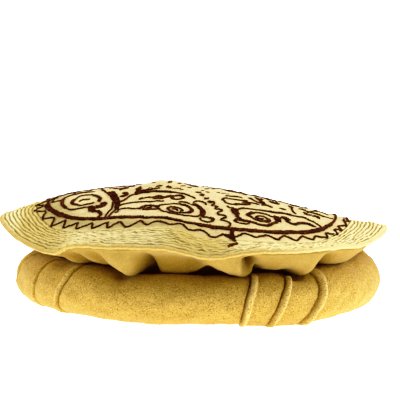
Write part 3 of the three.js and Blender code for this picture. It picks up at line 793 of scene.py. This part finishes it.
RIGHT_FIELD = [
    (4, [(29.5, -54), (29, -60), (30, -66.5)]),
    (1, [(31, -54.5), (34, -51), (40, -48.5), (47, -45.5), (54, -42.5), (61, -39.5)]),
    (2, [(52.5, -43), (58.5, -41), (64, -39), (68.5, -39)]),
    (1, [(67, -39), (73, -38.5), (79, -38), (83.5, -40.5), (88, -43.5), (90, -47)]),
    (2, [(29.5, -65), (31.5, -72), (34.5, -75)]),
    (2, [(34.5, -75), (38.5, -75), (43, -75), (47, -75.5), (51, -74.5), (55, -69.5), (58.5, -61.5)]),
    (2, [(28.5, -80), (31, -75.5), (34, -75.5)]),
    (1, [(29, -80.5), (32.5, -81.5), (36.5, -80.5), (39, -77.5)]),
    (4, [(59, -50), (59, -54), (59, -60.5)]),
    (4, [(62, -47.5), (64.5, -49.5), (67, -52.5)]),
    (2, [(65, -54.5), (68.5, -57), (72, -55.5), (75.5, -50.5), (79.5, -47.5), (82.5, -48.5),
         (85.5, -50)]),
    (2, [(42.5, -54.5), (39.5, -58.5), (38, -62.5), (40, -66.5)]),
    (1, [(42.5, -54.5), (47, -53), (51, -53), (55, -54), (58, -54.5)]),
    (1, [(40, -66.5), (43, -69), (46.5, -70)]),
    (2, [(46.5, -70), (50, -68.5), (53, -64), (52, -60.5)]),
    (1, [(52, -60.5), (49.5, -59), (46.5, -60), (43.5, -63)]),
    (2, [(43.5, -63.5), (45.5, -65.5), (48.5, -65)]),
    (1, [(21.5, -37), (20.5, -34.5), (23, -31), (27.5, -30.5), (33, -30), (38.5, -27)]),
    (1, [(21.5, -37), (23.5, -43.5), (26.5, -45.5), (31.5, -45)]),
    (1, [(23.5, -50.5), (25.5, -54), (28.5, -54.5)]),
    (2, [(28.5, -44), (34.5, -40.5), (40, -35)]),
    (1, [(35, -34), (41.5, -32), (47, -31)]),
    (2, [(48.5, -30), (52, -29), (55.5, -31)]),
    (1, [(39.5, -14), (43, -18.5), (47.5, -24), (51.5, -25.5)]),
    (2, [(46, -7.5), (48, -15.5), (50, -24)]),
    (2, [(55, -9), (57.5, -13), (61, -13.5)]),
    (2, [(62, -26), (64.5, -28)]),
    (2, [(68.5, -9.5), (70, -16)]),
    (1, [(70, -16), (70.5, -26.5), (72.5, -33)]),
    (1, [(75.5, -14.5), (80.5, -15), (85.5, -16), (90.5, -16.5), (93.5, -19.5)]),
    (1, [(78.5, -21), (80.5, -26), (84.5, -24)]),
    (2, [(84.5, -26), (87.5, -24.5), (89, -28.5)]),
    (1, [(107, -16.5), (108, -4.5)]),
    (1, [(34.5, -17.5), (27.5, -20.5), (23, -25.5)]),
]
PEAK_FLECKS = [
    (1, [(-18.1, -3.4), (-16.9, -1.1), (-15.6, -2.4), (-16.8, -4.7), (-18.1, -3.4)]),
    (1, [(-29.8, 0.1), (-27.3, -1.8)]),
    (1, [(-11.1, -4.2), (-8.6, -1.7)]),
    (1, [(-6.1, -0.7), (-2.9, -0.5)]),
    (1, [(0.4, -0.3), (2.4, 0.6)]),
    (1, [(-32.9, -11.8), (-31.1, -10.9), (-28.9, -12.9)]),
    (2, [(-26.4, -10.5), (-24.7, -10.2), (-22.6, -10.7)]),
    (1, [(-26, -13.9), (-22.8, -14.6)]),
    (2, [(-19.3, -13.7), (-17.8, -12.7), (-16, -15)]),
    (1, [(-14.6, -16.7), (-11.7, -15.7), (-8.9, -15.9)]),
    (2, [(-8.7, -9.8), (-6.2, -10.3)]),
    (2, [(-4.2, -11.1), (-1.7, -11.7)]),
    (1, [(-9.4, -18.8), (-7.8, -18.5)]),
    (2, [(1.6, -20.4), (3.2, -21.6), (4.9, -21.6)]),
    (1, [(8.2, -2.2), (11.1, 3)]),
    (1, [(13, 3), (14.8, 4.2)]),
    (1, [(5.4, -15.3), (6.8, -15.3)]),
    (1, [(8.9, -18.4), (10.1, -18.4)]),
    (1, [(16.3, -12.9), (19.3, -11.7)]),
    (1, [(20.4, -12.5), (22.1, -12.3)]),
    (1, [(23.2, -13.9), (26.1, -14.4)]),
]
CENTRE = [(1, [plan_place(CENTRE_RADIUS, 180 - 45 * k) for k in range(9)])]


def spline_through(stops, t):
    """Points and directions at shares t of a centripetal spline, one for each column."""
    stops = np.asarray(stops)
    reach = np.clip(np.asarray(t) * (len(stops) - 1), 0, len(stops) - 1 - 1e-9)
    points, directions = [], []
    for at in reach:
        i = int(at)
        w = at - i
        b, c = stops[i], stops[i + 1]
        a = stops[i - 1] if i > 0 else 2 * b - c
        d = stops[i + 2] if i + 2 < len(stops) else 2 * c - b
        ab, bc, cd = (np.sqrt(np.linalg.norm(q - p, axis=0)) for p, q in ((a, b), (b, c), (c, d)))
        start = ((b - a) / ab - (c - a) / (ab + bc) + (c - b) / bc) * bc
        end = ((c - b) / bc - (d - b) / (bc + cd) + (d - c) / cd) * bc
        square = -3 * b + 3 * c - 2 * start - end
        cube = 2 * b - 2 * c + start + end
        points.append(b + start * w + square * w**2 + cube * w**3)
        directions.append(start + 2 * square * w + 3 * cube * w**2)
    return np.array(points), np.array(directions)


def smooth_plan(points, step=0.25):
    """A smooth plan curve through points, as close points."""
    points = np.array(points, float)
    if len(points) < 3:
        count = int(np.linalg.norm(points[-1] - points[0]) / step) + 2
        return points[0] + (points[-1] - points[0]) * np.linspace(0, 1, count)[:, None]
    reach = np.linalg.norm(np.diff(points, axis=0), axis=1).sum()
    curve, _ = spline_through(points[:, :, None], np.linspace(0, 1, int(reach / step) + 2))
    return curve[:, :, 0]


def chain_rows(rows, plan):
    """Middles and directions of the links of some rows of chain stitch, side by side."""
    ahead = unit(np.gradient(plan, axis=0))
    across = np.stack([-ahead[:, 1], ahead[:, 0]], axis=1)
    links = []
    for row in range(rows):
        shift = (row - (rows - 1) / 2) * ROW_SPACING
        line = plan + across * shift
        points = np.stack([line[:, 0], line[:, 1], crown_face(line[:, 0], line[:, 1])], axis=1)
        run = np.concatenate([[0], np.cumsum(np.linalg.norm(np.diff(points, axis=0), axis=1))])
        short = END_ROUNDING * max(abs(shift) - 1, 0)
        reach = max(run[-1] - 2 * short, LINK_PITCH)
        count = max(int(round(reach / LINK_PITCH)), 1)
        first = 0.5 * (1 + ROW_STAGGER * (row % 2))
        at = short + (np.arange(count) + first) * reach / (count + 0.3)
        middle, ahead, behind = (
            np.stack([np.interp(at + step, run, points[:, k]) for k in range(3)], axis=1)
            for step in (0, 0.8, -0.8)
        )
        links.append(np.concatenate([middle, ahead - behind], axis=1))
    return np.concatenate(links)


def stitched(name, strokes, seed, yarn):
    """One joined mesh of chain stitch along all the strokes; yarn is its relative thickness."""
    links = np.concatenate([chain_rows(rows, plan) for rows, plan in strokes])
    random = np.random.default_rng(seed)
    count = len(links)
    middle = links[:, :3] + random.normal(0, LINK_SCATTER, (count, 3))
    along = unit(links[:, 3:])
    over = crown_normal(middle[:, 0], middle[:, 1])
    middle[:, 2] = crown_surface(middle[:, 0], middle[:, 1])[:, 2]
    side = unit(np.cross(over, along))
    lean = random.normal(0, LINK_LEAN, (count, 1))
    along, side = along + lean * side, side - lean * along
    middle, along, side, over = (value[:, None] for value in (middle, along, side, over))
    turn = (np.arange(LINK_POINTS) * 2 * math.pi / LINK_POINTS)[:, None]
    size = random.uniform(*LINK_SIZES, (count, 1, 1))
    # A link is a loop, narrow and low where it starts, and wider and higher at its end.
    a = LINK_LENGTH / 2 * np.cos(turn)
    b = yarn * LINK_WIDTH / 2 * np.sin(turn) * (1 + 0.35 * np.cos(turn))
    h = yarn * (0.25 + 0.3 * np.cos(turn) + 0.15 * np.abs(np.sin(turn)))
    centre = middle + along * a * size + side * b * size + over * h
    outward = unit(along * (np.cos(turn) * LINK_WIDTH) + side * (np.sin(turn) * LINK_LENGTH))
    strands = []
    for k in range(YARN_SIDES):
        c, s = (f(k * 2 * math.pi / YARN_SIDES + 0.4) for f in (math.cos, math.sin))
        strands.append(centre + yarn * YARN_RADIUS * size * (outward * c + over * s))
    points = np.stack(strands, axis=2).reshape(-1, 3)
    return mesh_object(name, points, grid_faces(LINK_POINTS, YARN_SIDES, copies=count))


def mirrored(plan):
    """A plan line of the front half, as it comes again in the back half."""
    return plan * (1, -1)


def plan_of(field):
    """The strokes of a field, each with its number of rows and its plan line."""
    return [(rows, smooth_plan(points)) for rows, points in field]


ring_degrees = np.arange(-90, 270.1, 0.15)
ring_out = wave(table("at radius", *FRONT_RING, *BACK_RING), "radius")(ring_degrees)
ring_line = np.stack(plan_place(ring_out, ring_degrees), axis=1)
ring_parts = [
    (rows, ring_line[(ring_degrees > start - 0.2) & (ring_degrees < end + 0.2)])
    for rows, start, end in RING_PARTS
]
corners = np.array([plan_place(radius, at) for at, radius in ZIGZAG])
corners = np.concatenate([corners, mirrored(corners[1:-1])[::-1], corners[:1]])
share = np.linspace(0, 1, ZIGZAG_STEPS, endpoint=False)[:, None]
zigzag_line = np.concatenate([
    start + (end - start) * share for start, end in zip(corners[:-1], corners[1:])
])
kernel = np.ones(ZIGZAG_ROUNDING) / ZIGZAG_ROUNDING
zigzag_line = np.stack([np.convolve(zigzag_line[:, k], kernel, "valid") for k in (0, 1)], axis=1)
scrolls = plan_of(LEFT_FIELD + LEFT_BAND + MIDDLE_FIELD + MIDDLE_VINE + RIGHT_FIELD)
back_scrolls = [(min(rows, 2), -BACK_SHARE * plan) for rows, plan in scrolls]

yarn_material, tree, shader = new_material("maroon_yarn")
set_inputs(shader, {
    "Roughness": 0.85, "Specular IOR Level": 0.15, "Sheen Weight": 0.2,
    "Sheen Tint": (0.9, 0.35, 0.25, 1),
})
patchy_colour(tree, shader, (0.065, 0.014, 0.006), (0.24, 0.08, 0.03), 420, 0.45, 0.75)
for name, strokes, seed, yarn in (
    ("embroidered_ring", ring_parts, 31, 1.15),
    ("embroidered_zigzag", [(1, zigzag_line)], 32, 1.05),
    ("embroidered_scrolls", scrolls, 33, 1),
    ("embroidered_back_scrolls", back_scrolls, 34, 0.75),
    ("embroidered_flecks", plan_of(PEAK_FLECKS + CENTRE), 35, 0.6),
):
    piece = stitched(name, strokes, seed, yarn)
    piece.data.materials.append(yarn_material)
    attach(piece, "root")

# ---- Side cloth -----------------------------------------------------------------------------
# The side is one long strip of soft felt. Gathered under the crown's edge, it hangs in lobes
# that rest on the brim, with tucked-in valleys between them, and goes down inside the brim.

BRIM_SHIFT = 3.6
SIDE_THICKNESS = 2
SIDE_ROWS = 49
SIDE_STEP = 0.5
SEAM_GAP = 0.5
SEAM_OVERLAP = 0.5
SEAM_OUTSIDE = 0.5
SEAM_INSIDE = -2.1
SEAM_MIDDLE = -1.1
SIDE_CREST_RADIUS = 105
SIDE_CREST_CLEARANCE = 2.2
SIDE_CREST_INSET = 4
SIDE_CREST_DROP = 0.5
SIDE_TURN = (92.5, 38)  # radius and height of the turn down inside the brim
SIDE_RING_RADIUS = 90
SIDE_RING_HEIGHT = 27
SIDE_LOW_EDGE = 3
SIDE_SWELLING = [(0.25, 13, 11), (0.12, 5, 12)]
LOBE_RADIUS = 129
VALLEY_RADIUS = 114
FOLD_FADE = 8
SHADED_FROM = (30, 40)
SHADE_SHARE = 0.8
SIDE_GOLD = (0.5, 0.355, 0.11)
# dark fibres of the wool, and the painted shade in the folds
SIDE_DARK_FIBRE_AND_SHADE = (0.29, 0.17, 0.025)

# How far out and how high the cloth is, half way down and where it turns in under a lobe.
SIDE_FOLDS = table(
    "at mid_out mid_up turn_out turn_up",
    (-90, 119, 55.6, 101, 46.6),
    (-68, 120, 51.6, 102, 45.6),
    (-59, 119, 50, 106, 45.2),
    (-53, 120, 49.6, 113.5, 44.6),
    (-48, 126, 48, 118, 43.6),
    (-43, 129.5, 47.6, 118.5, 43.2),
    (-39.5, 126, 49.2, 114, 45.4),
    (-37, 129, 49.6, 119.5, 45.2),
    (-33, 129.5, 49, 120, 44.2),
    (-30.5, 127.5, 49.2, 117, 43.8),
    (-28.3, 130, 47.8, 119.5, 42),
    (-26, 131.2, 46.6, 120.5, 39.4),
    (-23.6, 131.7, 45.6, 121.5, 37.6),
    (-21.4, 131, 46, 120.5, 38.4),
    (-19.2, 129, 47.4, 116.5, 42.2),
    (-17.2, 120, 49.6, 106, 45.2),
    (-15.3, 112, 50.4, 98, 45.2),
    (-13.9, 117, 49.6, 110, 40.6),
    (-12.4, 119.5, 49.4, 112, 39.4),
    (-5, 120, 49.4, 112, 39.4),
    (-1, 121, 49, 112, 40.2),
    (2.5, 131, 47.8, 123, 45.6),
    (6.5, 131, 45.4, 124, 42.4),
    (10, 130.5, 43.9, 123, 39.3),
    (12.8, 129, 45.4, 122, 38),
    (14.6, 119, 49, 121.5, 37.8),
    (16.4, 121.5, 49.6, 120, 38.6),
    (18.2, 127, 48.8, 116.5, 40.6),
    (19.8, 129.5, 48.2, 108, 43.6),
    (22, 130.8, 47.6, 117.5, 42.2),
    (26, 131, 47, 121, 41.4),
    (31, 131, 46.6, 121, 41.2),
    (34.3, 131.8, 45.8, 122, 38.4),
    (36.8, 132.3, 44.6, 123.3, 36.4),
    (39.6, 131, 45.6, 121.5, 39.4),
    (42, 129, 47.2, 117, 42.2),
    (44.6, 125, 48.4, 111, 44.4),
    (48.4, 129.5, 47, 118, 41.8),
    (58, 130.5, 46.8, 119.5, 41.4),
    (65, 127, 48.2, 115, 43.6),
    (72, 121, 50.2, 105, 45.4),
    (88, 121, 50.4, 104, 45.6),
    (100, 129, 46.6, 118, 42.4),
    (113, 121, 46.6, 105, 45.1),
    (128, 130, 45.6, 119, 42.4),
    (143, 122, 45.6, 107, 44.6),
    (158, 130, 46.6, 118.5, 42.4),
    (175, 123, 46.6, 108, 45.1),
    (191, 130, 46.6, 119, 42.4),
    (206, 121, 49.6, 104, 45.6),
    (222, 129, 48.6, 118, 43.2),
    (240, 120, 52.6, 102, 46.1),
    (255, 127, 50.6, 115, 44.1),
)

# Where the cloth is pinched in, or pushed out where the depth is less than 0.
PINCHES = table(
    "at width depth",
    (-51, 1.6, 4),
    (-39.5, 1.8, 4),
    (-30.5, 1.5, 2.5),
    (13.6, 1.6, -6),
    (17.3, 1.4, 13),
    (44.6, 2, 4),
)
# Where the cloth is in deep shade, up to a height, and how strongly.
DEEP_FOLDS = table(
    "at width top strength",
    (-50, 4, 58, 0.9),
    (-42, 4, 58, 0.8),
    (-33, 4, 57, 0.75),
    (-14, 3, 53, 1),
    (-6, 6, 53, 0.9),
    (0.8, 2.5, 57, 1.1),
    (24, 5, 53, 0.5),
    (50, 8, 53, 0.3),
)
# The roll's top and foot, and how far round, in degrees, it is leant and bowed.
BRIM_WAVES = table(
    "at top foot lean bow",
    (-90, 41.1, 6.2, 5.5, 2.5),
    (-75, 41.1, 6.2, 3.3, -1.3),
    (-62, 41, 5.8, 3.3, -1.5),
    (-48, 41, 4.9, 4.9, -0.6),
    (-36, 40.4, 4, 3.3, 0),
    (-31, 38.4, 3.6, 3, 0),
    (-26.5, 35.5, 3.2, 3, 0),
    (-21, 36.2, 2.8, 3, 0),
    (-12, 36.6, 2.2, 3, 0.3),
    (0, 36.4, 2.6, 2.8, 0.6),
    (8, 36.4, 3.2, 1.9, 1.4),
    (14, 36.2, 2, 1.9, 1.5),
    (20, 36.6, 0.8, 2.6, 1.3),
    (26, 36.8, -0.5, 3.3, 1),
    (31, 36, -0.5, 3.1, 0),
    (34.5, 34.2, -0.5, 2.9, -0.8),
    (37.5, 34.6, -0.4, 2.8, -1.2),
    (41, 36.6, 0, 2.8, -1.6),
    (46, 38.6, 0.8, 3, -1),
    (56, 39.9, 2, 3.3, 0),
    (68, 40.9, 2.8, 3.3, 0),
    (85, 41.1, 2.8, 3.3, 0),
    (100, 40.9, 1, 3.3, 0),
    (112, 40.6, -0.5, 3.3, 0),
    (145, 40.4, -0.5, 3.3, 0),
    (165, 40.1, 1.2, 3.3, 0),
    (185, 40.1, 1.5, 3.3, 0),
    (205, 40.6, 1, 3.3, 0),
    (225, 41.1, -0.5, 3.3, 0),
    (255, 41.1, 0, 3.3, -0.5),
)
brim_top = wave(BRIM_WAVES, "top")


def crown_at(radius, degrees, depth):
    """Points at a depth under the crown's upper face."""
    place = plan_place(radius, degrees)
    return crown_surface(*place, detail=False) - depth * crown_normal(*place)


def turned_from(degrees, at):
    """The way round from one angle to others, between -180 and 180 degrees."""
    return (degrees - at + 180) % 360 - 180


def close_to(degrees, at, width):
    """A share that is 1 at an angle and fades out to both sides of it."""
    return np.exp(-((turned_from(degrees, at) / width) ** 2))


side_angle = np.arange(0, 360, SIDE_STEP)
fold = {name: wave(SIDE_FOLDS, name)(side_angle) for name in SIDE_FOLDS if name != "at"}
for pinch_at, width, depth in zip(*PINCHES.values()):
    pinch = depth * close_to(side_angle, pinch_at, width)
    fold["mid_out"] -= pinch
    fold["mid_up"] += 0.15 * pinch
under_lip = crown_at(outer_row + SEAM_MIDDLE, side_angle, BORDER_THICKNESS + SEAM_GAP)
crest_radius = np.minimum(SIDE_CREST_RADIUS, fold["turn_out"] - SIDE_CREST_INSET)
crest_height = np.maximum(
    brim_top(side_angle) + SIDE_CREST_CLEARANCE, fold["turn_up"] - SIDE_CREST_DROP)
stops = [  # distance out, height and shift to the right, from the seam down
    (np.hypot(under_lip[:, 0], under_lip[:, 1]), under_lip[:, 2], 0),
    (fold["mid_out"], fold["mid_up"], BRIM_SHIFT / 2),
    (fold["turn_out"], fold["turn_up"], BRIM_SHIFT),
    (crest_radius, crest_height, BRIM_SHIFT),
    (*SIDE_TURN, BRIM_SHIFT),
    (SIDE_RING_RADIUS, SIDE_RING_HEIGHT, BRIM_SHIFT),
    (SIDE_RING_RADIUS, SIDE_LOW_EDGE, BRIM_SHIFT),
]
stops = np.array([[value + 0 * side_angle for value in stop] for stop in stops])
middle, direction = spline_through(stops, np.linspace(0, 1, SIDE_ROWS))
length = np.hypot(direction[:, 0], direction[:, 1])
out_r, out_z = -direction[:, 1] / length, direction[:, 0] / length


def side_layer(offset):
    """The points of one face of the cloth, at an offset from its middle."""
    x, y = plan_place(middle[:, 0] + offset * out_r, side_angle)
    z = middle[:, 1] + offset * out_z
    return np.stack([middle[:, 2] + x, y, z], axis=-1).transpose(1, 0, 2)


outer = side_layer(SIDE_THICKNESS / 2)
inner = side_layer(-SIDE_THICKNESS / 2)
seam_depth = BORDER_THICKNESS - SEAM_OVERLAP
outer[:, 0] = crown_at(outer_row + SEAM_OUTSIDE, side_angle, seam_depth)
inner[:, 0] = crown_at(outer_row + SEAM_INSIDE, side_angle, seam_depth)
# The cloth is even along its seam, and grows uneven over its first sixth.
outer[..., 2] += swelling(outer, SIDE_SWELLING) * np.clip(np.linspace(0, 6, SIDE_ROWS), 0, 1)
loop = np.concatenate([inner, outer[:, ::-1]], axis=1)
side_faces = grid_faces(len(side_angle), loop.shape[1])
side_piece = mesh_object("side_cloth", loop.reshape(-1, 3), side_faces)
side_wool, tree, group = wool_material(
    "side_wool", SIDE_GOLD, (0.68, 0.51, 0.17), SIDE_DARK_FIBRE_AND_SHADE, fleck=0.8,
    light_share=0.3, dark_share=0.3, cloudiness=0.1, bump=0.3, sheen=0.25)
# Painted shade darkens the cloth where it lies back between the lobes.
depth_in = -np.hypot(loop[..., 0], loop[..., 1])
painted_fold_shade = smooth_step(depth_in, -LOBE_RADIUS, -VALLEY_RADIUS)
for deep_at, width, top, strength in zip(*DEEP_FOLDS.values()):
    near = strength * close_to(side_angle, deep_at, width)[:, None]
    painted_fold_shade = np.maximum(painted_fold_shade, near * smooth_step(-loop[..., 2], -top, FOLD_FADE - top))
painted_fold_shade = painted_fold_shade * smooth_step(loop[..., 2], *SHADED_FROM)
shade = marked(side_piece, tree, "painted_fold_shade", painted_fold_shade)
shade = maths(tree, "MULTIPLY", shade, SHADE_SHARE, clamp=True)
colour = blend_colours(tree, shade, SIDE_GOLD, SIDE_DARK_FIBRE_AND_SHADE)
tree.links.new(colour, group.inputs["Base"])
side_piece.data.materials.append(side_wool)
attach(side_piece, "root")
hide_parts("side_wall")

# ---- Rolled brim ----------------------------------------------------------------------------
# The lower end of the side is wound up, nap side out, into a thick soft roll. Twelve tucks
# like thin cords are sewn across it, in four groups of three.

BRIM_RING_RADIUS = 111
BRIM_HALF_WIDTH = 19.5
BRIM_MIDDLE_HEIGHT = 21.6
TUCK_RISE = 3.3
TUCK_WIDTH = 4.9
CREASE_DEPTH = 2.6
TUCK_REACH = 14
TUCK_SPAN = (-1.4, 3.4)  # degrees from a crease, where the mesh is fine
TUCK_STEPS = 37
ROLL_STEPS = 96
SHOULDER = (-82, 32, 0.4)  # where it is fuller, how far, and how much
DENT_TURN = 74
DENT_SPREAD = 20
ROLL_SWELLING = [(0.35, 17, 21), (0.16, 6, 22), (0.12, 2.6, 23)]
# painted highlight on the tucks' cords and painted shade in their creases
RIDGE_HIGHLIGHT_SHARE = 0.7
CREASE_SHADE_SHARE = 0.9
BRIM_GOLD = (0.63, 0.437, 0.118)
BRIM_LIGHT_FIBRE_AND_HIGHLIGHT = (0.92, 0.73, 0.32)
BRIM_DARK_FIBRE_AND_SHADE = (0.25, 0.14, 0.02)

# Where each tuck's crease is, to which side of it the cord lies, and its relative size.
TUCKS = table(
    "crease lies size",
    (14.5, 1, 1),
    (25.9, 1, 1),
    (39.8, 1, 1.2),
    (105, -1, 1),
    (119, -1, 1),
    (133, -1, 1),
    (194, 1, 1),
    (208, 1, 1),
    (222, 1, 1),
    (275.5, -1, 0.5),
    (297.8, -1, 0.4),
    (312.3, -1, 0.7),
)
# Where the top of the roll is pressed in, over what width and how deep.
PRESSED_DENTS = table(
    "at width depth",
    (-53, 4, 2),
    (-27.5, 4.5, 2.5),
    (33.5, 3.5, 4),
)
foot_height = wave(BRIM_WAVES, "foot")
tuck_lean = wave(BRIM_WAVES, "lean")
tuck_bow = wave(BRIM_WAVES, "bow")


def tuck_section(along, size):
    """A tuck's height, and its painted light (a highlight on the cord, shade in the crease),
    at a distance from its crease round the roll.
    """
    width = TUCK_WIDTH * (0.4 + 0.6 * size)
    across = 2 * (along - 0.2) / width - 1
    across = np.clip(np.where(across > 0, across * 0.8, across), -1, 1)
    cord = TUCK_RISE * size * (1 - np.abs(across) ** 2.3) ** np.where(across > 0, 1.3, 0.7)
    crease = -CREASE_DEPTH * (0.3 + 0.7 * size) * np.exp(-((along / 0.8) ** 2))
    draw = -0.6 * size * np.exp(-(((along - 0.5) / 4.5) ** 2))
    return cord + crease + draw, cord / TUCK_RISE + crease / CREASE_DEPTH


def tuck_lift(degrees):
    """How far the tucks raise the skin, and the painted highlight (+) or painted shade (-) there."""
    rise, tuck_light_and_shade = np.zeros_like(degrees), np.zeros_like(degrees)
    for crease, lies, size in zip(*TUCKS.values()):
        turned = np.radians(turned_from(degrees, crease))
        along = lies * turned * (BRIM_RING_RADIUS + BRIM_HALF_WIDTH)
        near = np.abs(along) < TUCK_REACH
        here = tuck_section(along, size)
        rise, tuck_light_and_shade = rise + near * here[0], tuck_light_and_shade + near * here[1]
    return rise, tuck_light_and_shade


fine = [
    crease + lies * np.linspace(*TUCK_SPAN, TUCK_STEPS) for crease, lies, _ in zip(*TUCKS.values())
]
brim_angle = np.mod(np.concatenate([np.arange(0, 360, 1.0), *fine]), 360)
brim_angle = np.unique(np.round(brim_angle, 2))
turn = np.linspace(0, 360, ROLL_STEPS, endpoint=False) - 90
at, turn_at = np.meshgrid(brim_angle, turn, indexing="ij")
s, c = np.sin(np.radians(turn_at)), np.cos(np.radians(turn_at))
degrees = at + tuck_lean(at) * s + tuck_bow(at) * s * s
half = np.where(
    s > 0, brim_top(degrees) - BRIM_MIDDLE_HEIGHT, BRIM_MIDDLE_HEIGHT - foot_height(degrees))
# The tucks are high over the face of the roll, and flatter on its top and at its foot.
fade = 1 - 0.75 * smooth_step(turn_at, 50, 90) - 0.5 * smooth_step(-turn_at, 45, 77)
rise, tuck_light_and_shade = tuck_lift(at)
lift = rise * fade * (1 - smooth_step(turn_at, 90, 110))
on_shoulder = np.exp(-(((turn_at - DENT_TURN) / DENT_SPREAD) ** 2))
for dent_at, width, depth in zip(*PRESSED_DENTS.values()):
    lift = lift - depth * close_to(degrees, dent_at, width) * on_shoulder
full_at, full_width, fullness = SHOULDER
full = fullness * close_to(degrees, full_at, full_width) * ((s > 0) & (c > 0))
radius = BRIM_RING_RADIUS + (BRIM_HALF_WIDTH + lift) * np.sign(c) * np.abs(c) ** (1 - full)
height = BRIM_MIDDLE_HEIGHT + (half + lift) * s
x, y = plan_place(radius, degrees)
roll = np.stack([BRIM_SHIFT + x, y, height], axis=-1)
swell = swelling(roll, ROLL_SWELLING)
roll += np.stack([*plan_place(swell * c, degrees), swell * s], axis=-1)
roll[..., 2] = np.maximum(roll[..., 2], 0)
brim_faces = grid_faces(len(brim_angle), len(turn))
brim_piece = mesh_object("brim_roll", roll.reshape(-1, 3), brim_faces)
brim_wool, tree, group = wool_material(
    "brim_wool", BRIM_GOLD, BRIM_LIGHT_FIBRE_AND_HIGHLIGHT, BRIM_DARK_FIBRE_AND_SHADE, fleck=0.78,
    light_share=0.5, dark_share=0.85, cloudiness=0.15, bump=1.0, depth=0.45, sheen=0.35)
# A painted highlight pales the wool along the tucks' cords, and painted shade darkens their creases.
painted_tuck_light = marked(brim_piece, tree, "painted_tuck_light", tuck_light_and_shade * fade)
ridge_highlight = maths(tree, "MULTIPLY", painted_tuck_light, RIDGE_HIGHLIGHT_SHARE, clamp=True)
crease_shade = maths(tree, "MULTIPLY", painted_tuck_light, -CREASE_SHADE_SHARE, clamp=True)
colour = blend_colours(tree, ridge_highlight, BRIM_GOLD, BRIM_LIGHT_FIBRE_AND_HIGHLIGHT)
colour = blend_colours(tree, crease_shade, colour, BRIM_DARK_FIBRE_AND_SHADE)
tree.links.new(colour, group.inputs["Base"])
brim_piece.data.materials.append(brim_wool)
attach(brim_piece, "root")
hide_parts("rolled_brim")

# ---- Wool fuzz ------------------------------------------------------------------------------
# Loose ends of wool stand out of the felt everywhere. They are longest on the napped brim,
# short on the crown and the side cloth, and each is a flat, curved blade with a fine point.

FUZZ_WIDTH = 0.11
FUZZ_RISE = (0.25, 0.8)
FUZZ_ROOT_DEPTH = 0.1
FUZZ_FIRST_SEED = 60
FUZZ = [  # name, points, faces, material, count, shortest, longest, slot
    ("crown_fuzz", crown_points, crown_faces, crown_wool, 27000, 0.5, 1.6, "crown_felt"),
    ("side_fuzz", loop.reshape(-1, 3), side_faces, side_wool, 11000, 0.6, 1.6, "side_felt"),
    ("brim_fuzz", roll.reshape(-1, 3), brim_faces, brim_wool, 44000, 0.6, 2.2, "brim_felt"),
]


def fuzz(points, faces, count, shortest, longest, seed):
    """Points and faces of curved blades that grow from random places on a skin."""
    random = np.random.default_rng(seed)
    faces = np.array([face for face in faces if len(face) == 4])
    a, b, c, d = (points[faces[:, k]] for k in range(4))
    normal = np.cross(c - a, d - b)
    area = np.linalg.norm(normal, axis=1)  # twice the real one, on every face alike
    chosen = random.choice(len(faces), count, p=area / area.sum())
    u, v = random.uniform(0, 1, (2, count, 1))
    a, b, c, d = (corner[chosen] for corner in (a, b, c, d))
    root = a * (1 - u) * (1 - v) + b * (1 - u) * v + c * u * v + d * u * (1 - v)
    normal = unit(normal[chosen])
    lean = random.normal(size=(count, 3))
    lean = unit(lean - (lean * normal).sum(axis=1, keepdims=True) * normal)
    length = shortest + (longest - shortest) * random.uniform(0, 1, (count, 1)) ** 2
    rise = random.uniform(*FUZZ_RISE, (count, 1))
    # A blade stands up from the skin, bends over, and ends in a point.
    middle = root + length * 0.55 * (normal * rise + lean * 0.6)
    end = root + length * (normal * rise * 0.8 + lean)
    flat = np.cross(normal, lean) * FUZZ_WIDTH / 2
    root = root - normal * FUZZ_ROOT_DEPTH
    sides = (root - flat, root + flat, middle - flat * 0.8, middle + flat * 0.8)
    blades = np.stack([*sides, end], axis=1)
    first = np.arange(count)[:, None] * blades.shape[1]
    faces = np.concatenate([first + (0, 1, 3), first + (0, 3, 2), first + (2, 3, 4)])
    return blades.reshape(-1, 3), faces


for seed, row in enumerate(FUZZ, FUZZ_FIRST_SEED):
    name, points, faces, material, count, shortest, longest, slot = row
    piece = mesh_object(name, *fuzz(points, faces, count, shortest, longest, seed))
    piece.data.materials.append(material)
    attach(piece, "root")
